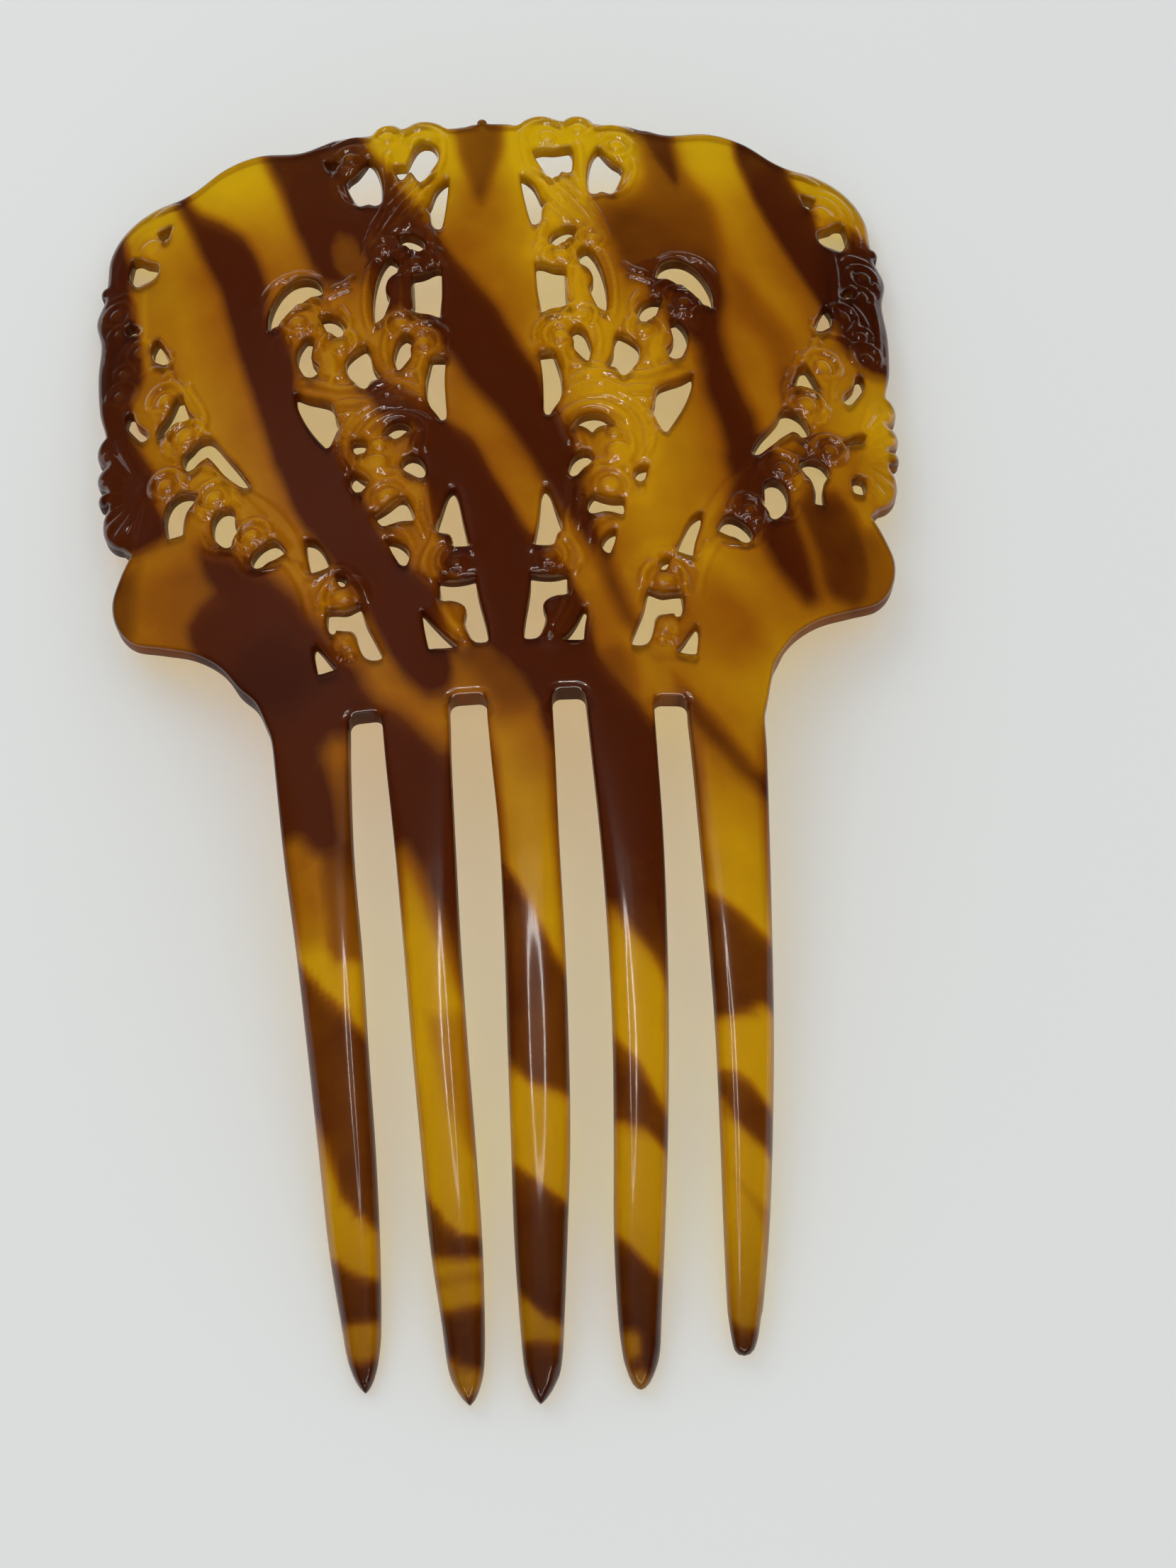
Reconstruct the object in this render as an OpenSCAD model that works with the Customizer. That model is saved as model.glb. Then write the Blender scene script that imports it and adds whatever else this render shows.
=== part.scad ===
// Mantilla comb, one moulded piece, lying with its raised side up.
// Millimetres. X runs across the comb, Y from the tooth tips to the heading's top edge, Z up.
// The origin is under the middle of the comb, on the surface that it rests on.

/* [Curvature] */
// Radius of the arch across the comb, at the raised face
arch_r = 120; // [100:5:160]
// Radius of the bow along the comb, at the raised face
bow_r = 450; // [400:10:700]

/* [Plate] */
// Thickness of the heading and the wings
plate_t = 2.4; // [2:0.1:3]
// Thickness of the bar above the slots
bar_t = 3.6; // [3:0.1:4]
// How far the scrolls stand above the plate
relief_h = 0.7; // [0.4:0.1:1]
// How far the scrolls' round centres stand above the plate
boss_h = 1.1; // [0.8:0.1:1.4]

/* [Teeth] */
// Factor on the width of every tooth
tooth_width = 1; // [0.9:0.02:1.04]
// Thickness of the teeth at the root
tooth_t = 3.5; // [3:0.1:3.8]
// How far the last tooth on the right is bent up at its tip
bent_tip = 1.5; // [0:0.1:3]

/* [Fineness] */
// Steps between two points of the outline
curve_steps = 2; // [2:1:6]
// Degrees of one step round a scroll
scroll_step = 60; // [45:1:90]

/* [Hidden] */

// The plan is drawn from the middle of the bar and then moved so that the comb is centred on Y
plan_mid_y = 1.4;
// Height of the raised face at the middle of the bar above the resting surface
crown_z = 15.62;
// Lean of the whole comb towards its teeth, which brings the tips and the heading's sides down together
rest_tilt = 3.8;
// Half of the band that the curved blank covers, wider than the comb, and the arch's steps on each side
blank_half_x = 56;
blank_half_y = 92;
arch_steps = 8;
// Lowest and highest level of the upright cutters, past every face
cut_low = -40;
cut_high = 12;

// Right half of the heading and wing, from the top of the middle down to the bar: x, y
EDGE = [
    [0, 83.4], [4.2, 83.2], [10.9, 83.8], [15.4, 83.4], [19.4, 83.4], [24.6, 81.9],
    [30.6, 83], [35.4, 82], [40.2, 79], [45.4, 78.1], [49.4, 75.8], [51.6, 72],
    [51.9, 67], [52.1, 64], [53.1, 60.7], [52.2, 56.5], [52.3, 51], [51.7, 45],
    [50.6, 40.9], [50.2, 36], [50, 32], [49.2, 26], [47.6, 22.9], [46.3, 21.5],
    [47.6, 18.8], [48.6, 15.2], [47.8, 11.6], [45.6, 8.9], [42, 7.4], [37.8, 5.7],
    [34.4, 3.2], [32, 0]
];
// Round lobes of the scalloped edge: x, y, radius
LOBES = [
    [0, 83.6, 0.7], [7.8, 81.5, 3.4], [12.9, 82.4, 2.4], [51.7, 65.6, 1],
    [49, 38.4, 2.7], [49.6, 34.2, 1.9], [50.2, 31, 1], [45.8, 27, 4.6]
];
// Bar below the heading, round the comb from its upper left to its upper right corner: x, y
BAR = [
    [-32, 0], [-30, -2.2], [-28.8, -5], [-28.1, -8], [-27.9, -10], [29.8, -10],
    [30, -8.5], [30.5, -5], [31.2, -2.2], [32, 0]
];
// Level above which the bar is no thicker than the heading
bar_top_y = 1.2;
// Slots: x of the left and right side at the closed end, y of that end
SLOTS = [[-18.8, -14.9, -5.4], [-7, -2.6, -4.3], [5, 8.9, -4.2], [16.8, 20.8, -5.2]];
slot_round = 1;

// Stations along the teeth: y, share of tooth_t, height of the shoulders as a share of the thickness
STATIONS = [
    [-7.5, 1, 0.97], [-12, 1, 0.93], [-22, 0.98, 0.78], [-34, 0.95, 0.6], [-45, 0.92, 0.5],
    [-56, 0.87, 0.42], [-66, 0.79, 0.38], [-74, 0.68, 0.38]
];
// Teeth: middle x at each station, width at each station, then tip x, tip y, tip width, lift
TEETH = [
    [[-23.4, -23.2, -22.7, -21.7, -21, -20.3, -19.8, -19.3],
     [9.2, 8.7, 8, 7.4, 6.8, 6.3, 5.6, 4.3], -19, -81, 0.6, 0],
    [[-10.9, -10.8, -10.4, -10, -9.6, -9.1, -8.7, -8.3],
     [7.8, 7.5, 6.9, 6.4, 6.2, 6, 5.7, 4.7], -7.9, -83, 0.6, 0],
    [[1.2, 1.3, 1.5, 1.5, 1.3, 1, 0.5, 0.2],
     [7.6, 7.4, 6.8, 6.8, 6.8, 6.5, 5.8, 4.9], -0.4, -83.3, 0.6, 0],
    [[12.9, 13, 13.2, 13.1, 12.7, 12, 11.2, 10.7],
     [7.8, 7.6, 7.2, 6.7, 6.3, 6, 5.6, 4.8], 10.3, -82.4, 1.2, 0],
    [[25.3, 25.3, 25.1, 24.8, 24.4, 23.7, 22.9, 22.1],
     [9.1, 8.8, 8.1, 7.3, 6.6, 5.9, 5.1, 4], 21.5, -79.6, 1.8, bent_tip]
];

// Pierced gaps of the right half. The first column is the side: 0 both, 1 right alone, -1 left
// alone, where the moulding differs. Then come the corners: x, y
GAPS = [
    // inner column, from the bar up
    [0, [[2.3, 3], [3.4, 2.7], [4.6, 5.6], [4.6, 7.6], [5.4, 8.4], [7.4, 8.6], [7.6, 11.2], [3.3, 11.2]]],
    [0, [[6, 2.3], [9.2, 2.2], [9.8, 6.4]]],
    [0, [[4, 15.2], [5.8, 15.2], [6.1, 16.6], [7.5, 17.5], [6.2, 22.6], [5.6, 23.2], [5.1, 22.2]]],
    [0, [[11.9, 13.6], [12.8, 14.2], [13.7, 17.3], [12.3, 16.5], [11.6, 15]]],
    [0, [[10.6, 19.4], [12.4, 19.6], [14.6, 18.9], [15.2, 20.2], [12.6, 21.5], [11.2, 22], [10.4, 20.8]]],
    [0, [[9.2, 24.9], [10.4, 25.8], [11.7, 26.9], [11.2, 28.3], [9.8, 28], [8.9, 26.2]]],
    [0, [[16.1, 25.6], [17.2, 24.2], [18.4, 26.2]]],
    [-1, [[16.2, 30], [17, 29.7], [17.6, 30.4], [16.8, 31.2]]],
    [0, [[9.8, 32.2], [12.2, 31.1], [14.4, 32.2], [13.8, 33.3], [12, 33.8], [10.6, 33.3]]],
    [0, [[5.7, 34], [6.3, 33.6], [8.1, 37.2], [8.2, 39.4], [7.5, 43.3], [6, 43.5], [6.1, 38]]],
    [0, [[14.7, 41.3], [15.9, 41.2], [16.5, 40.1], [17.5, 40.7], [18.5, 43.4], [17.9, 45.2], [16.3, 46.4], [15.4, 44.4]]],
    [0, [[10.5, 43], [11.8, 41.9], [12.4, 44.4], [11.8, 46.8], [10.9, 47.4], [10.2, 46.3]]],
    [0, [[6.1, 49.5], [8, 50.5], [9.6, 51.2], [9.6, 57.2], [7.5, 57.2], [6.6, 58], [6.1, 57.6]]],
    [0, [[14.3, 49.9], [14.9, 52.4], [14.8, 56], [14, 59.2], [12.8, 60.3], [12, 59.6], [13.1, 55], [13.3, 52.2]]],
    [0, [[8.6, 60.5], [9.8, 61.4], [11.1, 62.4], [11.1, 63.9], [9.4, 63.6], [8.2, 61.8]]],
    [0, [[6, 64.8], [6.8, 65.4], [7.6, 67.2], [7.9, 69.4], [5.8, 73], [4.9, 72.4], [5.4, 69]]],
    [-1, [[8.6, 73.2], [9.4, 75], [10.2, 75], [10.9, 74], [11.9, 76.9], [9.8, 77], [8.9, 80.8], [7.3, 80.8], [6.4, 78.8], [6.8, 76]]],
    [1, [[9, 73.2], [9.8, 74.1], [11.3, 74], [11.8, 78.2], [6.8, 78.2], [7.4, 75.2]]],
    [0, [[14.2, 69.9], [15.8, 70.5], [17.4, 70], [18.7, 74.5], [17.2, 75.3], [15.6, 78.1], [14.5, 77], [13.8, 71.2]]],
    [-1, [[19.8, 79.3], [20.6, 77.4], [21.6, 79.3]]],
    // branch column
    [0, [[21, 31.6], [21.9, 32.6], [25, 40.7], [22.2, 39], [20.2, 37.6], [19.7, 34.4], [20.2, 33]]],
    [0, [[22.3, 43.1], [23.7, 43.2], [25.2, 47.2], [24.3, 49], [22.9, 48.6], [22.8, 45.2]]],
    [0, [[19.3, 48.3], [20.2, 49], [21.4, 52], [20, 51.5], [18.9, 49.8]]],
    [0, [[21.8, 56], [24.4, 55.3], [26.4, 53.9], [28.5, 51.2], [28.9, 54.6], [27.6, 57.6], [25.2, 58.7], [22.8, 57.9]]],
    // outer column, from the bar up
    [0, [[15, 1.6], [16.4, 1.7], [17.4, 4.4], [17.9, 5.7], [20.5, 5.7], [21.2, 6.8], [20.8, 8.3], [17.3, 8.5], [16.2, 6.8]]],
    [0, [[19.8, 0.7], [22.1, 0.5], [22.7, 3.7]]],
    [0, [[18.9, 12.6], [19.7, 12.1], [20.3, 13], [19.5, 13.6]]],
    [0, [[21, 14.6], [23, 13.9], [23.4, 15.6], [24.1, 18.3], [23.3, 18.3], [21.5, 16.4]]],
    [0, [[26.2, 17.3], [28.2, 16.6], [29.6, 15.8], [30.4, 16.9], [29, 19], [27.4, 19]]],
    [0, [[32.4, 21.4], [33.1, 20.2], [34.1, 19.6], [35.1, 20.6], [35.2, 23.2], [34.7, 24.8], [33.1, 24.8]]],
    [0, [[39.5, 22.8], [40.9, 22.8], [40.8, 25.2], [41.8, 26.7], [40.6, 28.3], [38.8, 28.4], [37.7, 27.5], [39.3, 25.4]]],
    [0, [[44.5, 25.4], [45.4, 25.1], [46, 26], [45.5, 26.9], [44.6, 26.7]]],
    [0, [[31.1, 28.2], [32.2, 28.3], [35.4, 32.2], [37.2, 33.1], [38.6, 32], [39.2, 33.8], [38, 35.6], [36.2, 36], [34.6, 33.2]]],
    [1, [[44, 32.2], [46.4, 33], [46.2, 33.9], [44.4, 33]]],
    [0, [[38.7, 40], [41, 39.7], [42.4, 38.8], [41.2, 42], [40.1, 43]]],
    [0, [[45.3, 38.6], [46.5, 39.2], [47.8, 43], [46.8, 43.2], [45.1, 40.2]]],
    [0, [[42.4, 50.1], [43.8, 50.6], [44.4, 53.4], [43.6, 53.9]]],
    [0, [[46.6, 56.6], [48.4, 57], [48.4, 58.2], [47, 57.8]]],
    [0, [[44.6, 65.5], [46.2, 65.1], [47.6, 64.4], [48.4, 66.2], [48.3, 69.4], [47.4, 69.7], [46.6, 68.6], [44.6, 68.4]]],
    [0, [[42.9, 73.4], [43.8, 71.7], [44.5, 73.4]]]
];

// Scrolls of the right half, each a band that winds round a centre: centre x, centre y, radius
// at the start and at the end, angle at the start and at the end, width at the start and at the end
SCROLLS = [
    // inner column, from the bar up
    [9.6, 8.4, 3.7, 3.9, 180, 250, 1.2, 0.6],
    [5.5, 13.1, 2.5, 1.6, 195, -110, 1, 0.7],
    [-1, 6.5, 11.4, 11.4, 46, -16, 1.3, 0.8],
    [15.2, 20, 7.4, 7.4, 196, 244, 1.4, 0.8],
    [13.2, 23.2, 4.4, 2.4, 215, -60, 1.2, 0.8],
    [12.2, 30.6, 4.4, 4.2, 160, 20, 1.3, 1],
    [13, 30.2, 6.4, 4.6, 150, -45, 1.2, 0.8],
    [17.5, 44.5, 7.4, 7.4, 215, 285, 1.4, 0.7],
    [8.6, 45.2, 2.2, 1.4, 60, 300, 1, 0.7],
    [8.6, 45.2, 5.3, 4.6, -40, 110, 1.2, 0.9],
    [20, 54, 8.6, 8.6, 160, 200, 1.6, 0.9],
    [10, 59, 2.4, 2, 210, 20, 1, 0.7],
    [17.5, 67, 5.2, 5.2, 150, 245, 1.3, 0.7],
    [3, 64, 9.6, 9.2, 62, 0, 1.3, 0.8],
    [8.4, 80, 3.4, 2.2, 215, 20, 1.2, 0.8],
    [12.9, 82, 1.7, 1.5, 200, -60, 0.9, 0.7],
    [17.8, 78.7, 2.9, 1.6, 150, -150, 1.2, 0.8],
    // branch column
    [24.3, 52.4, 2.9, 1.7, 130, -130, 1.2, 0.8],
    [19.6, 46.6, 2.6, 2, 220, 0, 1.1, 0.8],
    [26.5, 42.6, 6.4, 6.4, 150, 205, 1.3, 0.9],
    // outer column, from the bar up
    [19.4, 9.9, 2.9, 1.8, 200, -130, 1.1, 0.8],
    [19.4, 3.2, 1.5, 1.1, 190, -50, 0.9, 0.6],
    [42, 5, 19.2, 19, 172, 134, 1.2, 1],
    [41, 13, 17, 16.6, 166, 122, 1.1, 0.9],
    [30.4, 20.4, 2.2, 1.4, 200, -90, 1, 0.7],
    [35.6, 26.8, 2.6, 1.6, 200, -100, 1.1, 0.8],
    [41.8, 30.3, 2.2, 1.3, 220, -90, 1.1, 0.8],
    [39.6, 36.9, 2.7, 1.8, 230, -60, 1.1, 0.8],
    [42.6, 43.6, 2.6, 1.5, 230, -90, 1.1, 0.8],
    [48.6, 47.2, 2.1, 1.4, 240, -90, 1, 0.7],
    [46.4, 52.6, 2.2, 1.4, 250, -60, 1, 0.7],
    [49.8, 60, 2.2, 1.4, 260, -70, 1.1, 0.7],
    [46, 71.6, 4.6, 3, 125, -60, 1.3, 0.8]
];
// Ribs of the shell at the side, which fan out from one point: angle, length
SHELL_X = 44.6;
SHELL_Y = 30;
SHELL_RIBS = [[-62, 6.2], [-40, 5.4], [-16, 5.6], [10, 6], [32, 6.6], [52, 9]];
// Round centres of the scrolls: x, y, radius
BOSSES = [
    [5.5, 12.9, 1.3], [13.5, 22.8, 1.4], [14.6, 28, 1.3], [8.7, 45.3, 1], [11.4, 48.6, 1],
    [9.4, 58.6, 1.1], [17.9, 78.6, 1.2], [24.8, 51.2, 1.2], [19.3, 46.7, 1.2], [19.3, 9.6, 1.3],
    [30.4, 20, 1], [35.3, 26.6, 1.1], [41.8, 30.1, 1.1], [39.4, 36.9, 1.3], [42.3, 43.4, 1.1],
    [48.7, 46.2, 1], [46.1, 52.6, 1], [50, 60.4, 1], [45.5, 70.8, 1.3]
];

comb_colour = [0.72, 0.46, 0.06];

// How far the arch falls below the crown at x
function arch_drop(x) = arch_r - sqrt(arch_r * arch_r - x * x);
// Height of the raised face over the bar's middle, a negative number away from it
function face_z(x, y) = sqrt(pow(bow_r - arch_drop(x), 2) - y * y) - bow_r;
// Point at share t of the smooth curve between b and c
function curve_point(a, b, c, d, t) =
    b + 0.5 * t * (c - a + t * (2 * a - 5 * b + 4 * c - d + t * (3 * (b - c) + d - a)));
// Smooth open curve through points, with curve_steps points in each stretch
function smooth(points) = [
    for (i = [0:len(points) - 2])
        let (a = points[max(i - 1, 0)], d = points[min(i + 2, len(points) - 1)])
            for (s = [0:curve_steps - 1])
                curve_point(a, points[i], points[i + 1], d, s / curve_steps),
    points[len(points) - 1]
];
// Points of one side of a scroll's band: side is -0.5 for the inner and 0.5 for the outer one
function scroll_side(row, side) =
    let (steps = max(2, ceil(abs(row[5] - row[4]) / scroll_step)))
    [for (i = [0:steps])
        let (t = i / steps, a = row[4] + t * (row[5] - row[4]),
             w = row[6] + t * (row[7] - row[6]), r = row[2] + t * (row[3] - row[2]) + side * w)
            [row[0] + r * cos(a), row[1] + r * sin(a)]];
function reversed(points) = [for (i = [len(points) - 1:-1:0]) points[i]];

// Arch of the blank seen along the comb, between two distances from the raised face
module arch_section(above, below) {
    angle = asin(blank_half_x / arch_r);
    outer = arch_r + above;
    inner = arch_r - below;
    angles = [for (i = [-arch_steps:arch_steps]) angle * i / arch_steps];
    top = [for (a = angles) [bow_r - arch_r + outer * cos(a), outer * sin(a)]];
    bottom = [for (a = reversed(angles)) [bow_r - arch_r + inner * cos(a), inner * sin(a)]];
    polygon(concat(top, bottom));
}

// Curved blank that every flat outline is cut from
module blank(above, below) {
    angle = asin(blank_half_y / (bow_r - arch_drop(blank_half_x)));
    translate([0, 0, -bow_r])
        rotate([0, -90, 0])
            rotate([0, 0, -angle])
                rotate_extrude(angle = 2 * angle, $fn = 190) arch_section(above, below);
}

// Upright cutter of a flat outline
module upright() {
    translate([0, 0, cut_low]) linear_extrude(cut_high - cut_low) children();
}

module half_heading() {
    polygon(concat([[0, -1]], smooth(EDGE), [[30, -1]]));
    for (lobe = LOBES) translate([lobe[0], lobe[1]]) circle(lobe[2], $fn = 16);
}

module gaps(side) {
    for (row = GAPS)
        if (row[0] == 0 || row[0] == side) polygon(row[1]);
}

module slots() {
    for (slot = SLOTS)
        translate([slot[0], -30])
            offset(slot_round, $fn = 16)
                offset(delta = -slot_round)
                    square([slot[1] - slot[0], 30 + slot[2]]);
}

// The whole comb above the teeth, flat
module outline() {
    difference() {
        union() {
            half_heading();
            mirror([1, 0]) half_heading();
            polygon(BAR);
        }
        gaps(1);
        mirror([1, 0]) gaps(-1);
        slots();
    }
}

module half_scrolls() {
    for (row = SCROLLS) polygon(concat(scroll_side(row, 0.5), reversed(scroll_side(row, -0.5))));
    for (rib = SHELL_RIBS)
        translate([SHELL_X, SHELL_Y])
            rotate(rib[0])
                polygon([[1.6, -0.3], [rib[1], -0.7], [rib[1], 0.7], [1.6, 0.3]]);
}

// Scrolls on the raised face
module relief() {
    intersection() {
        blank(relief_h, 1);
        upright() {
            half_scrolls();
            mirror([1, 0]) half_scrolls();
        }
    }
}

// Low dome on the raised face
module boss(x, y, r) {
    translate([x, y, face_z(x, y)])
        rotate(x * 7)
            hull() {
                translate([0, 0, -1]) cylinder(1 + boss_h * 0.4, r, r, $fn = 6);
                cylinder(boss_h, r * 0.5, r * 0.5, $fn = 6);
            }
}

// Heading, wings and bar
module head() {
    intersection() {
        union() {
            blank(0, plate_t);
            relief();
            for (b = BOSSES) {
                boss(b[0], b[1], b[2]);
                boss(-b[0], b[1], b[2]);
            }
            intersection() {
                blank(-0.5, bar_t);
                upright() translate([-blank_half_x, -20]) square([2 * blank_half_x, 20 + bar_top_y]);
            }
        }
        upright() outline();
    }
}

// Points across a tooth, flat behind and rounded in front, square to the arch
function tooth_slice(x, y, w, t, shoulder, lift) =
    let (half = w * tooth_width / 2, high = t * (0.74 + 0.26 * shoulder), lean = asin(x / arch_r),
         across = [cos(lean), 0, -sin(lean)], up = [sin(lean), 0, cos(lean)],
         middle = [x, y, face_z(x, y) + lift] - t * up)
        [for (p = [
            [-half * 0.86, 0], [-half, t * shoulder * 0.5], [-half * 0.94, t * shoulder], [-half * 0.5, high],
            [0, t], [half * 0.5, high], [half * 0.94, t * shoulder], [half, t * shoulder * 0.5], [half * 0.86, 0]
        ]) middle + p[0] * across + p[1] * up];

// One tooth from the bar to its tip. A bent tip rises with the square of the way down
module tooth(row) {
    last = len(STATIONS) - 1;
    function lift(y) = row[5] * pow((STATIONS[0][0] - y) / (STATIONS[0][0] - row[3]), 2);
    slices = concat(
        [for (i = [0:last])
            let (s = STATIONS[i])
                tooth_slice(row[0][i], s[0], row[1][i], tooth_t * s[1], s[2], lift(s[0]))],
        [tooth_slice((row[2] + row[0][last]) / 2, row[3] + 2.2, row[1][last] * 0.6, tooth_t * 0.5, 0.4,
                     lift(row[3]))],
        [tooth_slice(row[2], row[3], row[4], tooth_t * 0.35, 0.5, lift(row[3]))]
    );
    n = len(slices[0]);
    rings = len(slices);
    polyhedron(
        [for (slice = slices) for (p = slice) p],
        concat(
            [[for (k = [n - 1:-1:0]) k]],
            [for (i = [0:rings - 2]) for (k = [0:n - 1])
                [i * n + k, i * n + (k + 1) % n, (i + 1) * n + (k + 1) % n, (i + 1) * n + k]],
            [[for (k = [0:n - 1]) (rings - 1) * n + k]]
        )
    );
}

module comb() {
    color(comb_colour)
        translate([0, -plan_mid_y, crown_z])
            rotate([rest_tilt, 0, 0]) {
                head();
                for (row = TEETH) tooth(row);
            }
}

comb();
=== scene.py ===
import math

import bpy
import numpy as np
from mathutils import Matrix, Vector, kdtree
from mathutils.geometry import delaunay_2d_cdt


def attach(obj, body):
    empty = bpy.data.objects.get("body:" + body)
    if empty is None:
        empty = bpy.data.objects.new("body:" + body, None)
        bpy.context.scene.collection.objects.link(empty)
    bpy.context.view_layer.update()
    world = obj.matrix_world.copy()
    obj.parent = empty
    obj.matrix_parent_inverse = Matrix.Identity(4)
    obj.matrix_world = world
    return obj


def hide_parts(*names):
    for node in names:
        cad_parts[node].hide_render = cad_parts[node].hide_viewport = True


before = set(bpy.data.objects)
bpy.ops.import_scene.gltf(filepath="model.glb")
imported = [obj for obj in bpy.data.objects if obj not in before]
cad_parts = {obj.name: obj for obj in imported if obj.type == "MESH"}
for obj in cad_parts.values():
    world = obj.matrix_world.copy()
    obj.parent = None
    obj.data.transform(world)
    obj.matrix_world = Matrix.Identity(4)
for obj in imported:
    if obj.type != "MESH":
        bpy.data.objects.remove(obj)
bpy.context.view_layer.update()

MM = 0.001

# The same values as in the part's source, in millimetres
ARCH_R = 120
BOW_R = 450
PLATE_T = 2.4
BAR_T = 3.6
TOOTH_T = 3.5
BAR_TOP_Y = 1.2
BENT_TIP = 1.5
PLAN_MID_Y = 1.4
CROWN_Z = 15.62
REST_TILT = math.radians(3.8)

# Right half of the heading and wing, from the top of the middle down to the bar: x, y
EDGE = [
    [0, 83.4], [4.2, 83.2], [10.9, 83.8], [15.4, 83.4], [19.4, 83.4], [24.6, 81.9],
    [30.6, 83], [35.4, 82], [40.2, 79], [45.4, 78.1], [49.4, 75.8], [51.6, 72],
    [51.9, 67], [52.1, 64], [53.1, 60.7], [52.2, 56.5], [52.3, 51], [51.7, 45],
    [50.6, 40.9], [50.2, 36], [50, 32], [49.2, 26], [47.6, 22.9], [46.3, 21.5],
    [47.6, 18.8], [48.6, 15.2], [47.8, 11.6], [45.6, 8.9], [42, 7.4], [37.8, 5.7],
    [34.4, 3.2], [32, 0],
]
# Sharp corners of that line, by their place in it: the notch between the shell and the wing
EDGE_CORNER = 23
LOBES = [
    [0, 83.6, 0.7], [7.8, 81.5, 3.4], [12.9, 82.4, 2.4], [51.7, 65.6, 1],
    [49, 38.4, 2.7], [49.6, 34.2, 1.9], [50.2, 31, 1], [45.8, 27, 4.6],
]
# Slots: x of the left and right side at the closed end, y of that end
SLOTS = [[-18.8, -14.9, -5.4], [-7, -2.6, -4.3], [5, 8.9, -4.2], [16.8, 20.8, -5.2]]
SLOT_ROUND = 1.0
# Stations along the teeth: y, share of TOOTH_T, height of the shoulders as a share of the thickness
STATIONS = [
    [-7.5, 1, 0.97], [-12, 1, 0.93], [-22, 0.98, 0.78], [-34, 0.95, 0.6], [-45, 0.92, 0.5],
    [-56, 0.87, 0.42], [-66, 0.79, 0.38], [-74, 0.68, 0.38],
]
# Teeth: middle x at each station, width at each station, then tip x, tip y, tip width
TEETH = [
    [[-23.4, -23.2, -22.7, -21.7, -21, -20.3, -19.8, -19.3],
     [9.2, 8.7, 8, 7.4, 6.8, 6.3, 5.6, 4.3], -19, -81, 0.6],
    [[-10.9, -10.8, -10.4, -10, -9.6, -9.1, -8.7, -8.3],
     [7.8, 7.5, 6.9, 6.4, 6.2, 6, 5.7, 4.7], -7.9, -83, 0.6],
    [[1.2, 1.3, 1.5, 1.5, 1.3, 1, 0.5, 0.2],
     [7.6, 7.4, 6.8, 6.8, 6.8, 6.5, 5.8, 4.9], -0.4, -83.3, 0.6],
    [[12.9, 13, 13.2, 13.1, 12.7, 12, 11.2, 10.7],
     [7.8, 7.6, 7.2, 6.7, 6.3, 6, 5.6, 4.8], 10.3, -82.4, 1.2],
    [[25.3, 25.3, 25.1, 24.8, 24.4, 23.7, 22.9, 22.1],
     [9.1, 8.8, 8.1, 7.3, 6.6, 5.9, 5.1, 4], 21.5, -79.6, 1.8],
]
# Sides of the bar above the first and the last tooth, and where the teeth's own sides start
BAR_SIDES = [[[-30, -2.2], [-28.8, -5]], [[31.2, -2.2], [30.5, -5]]]

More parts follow.
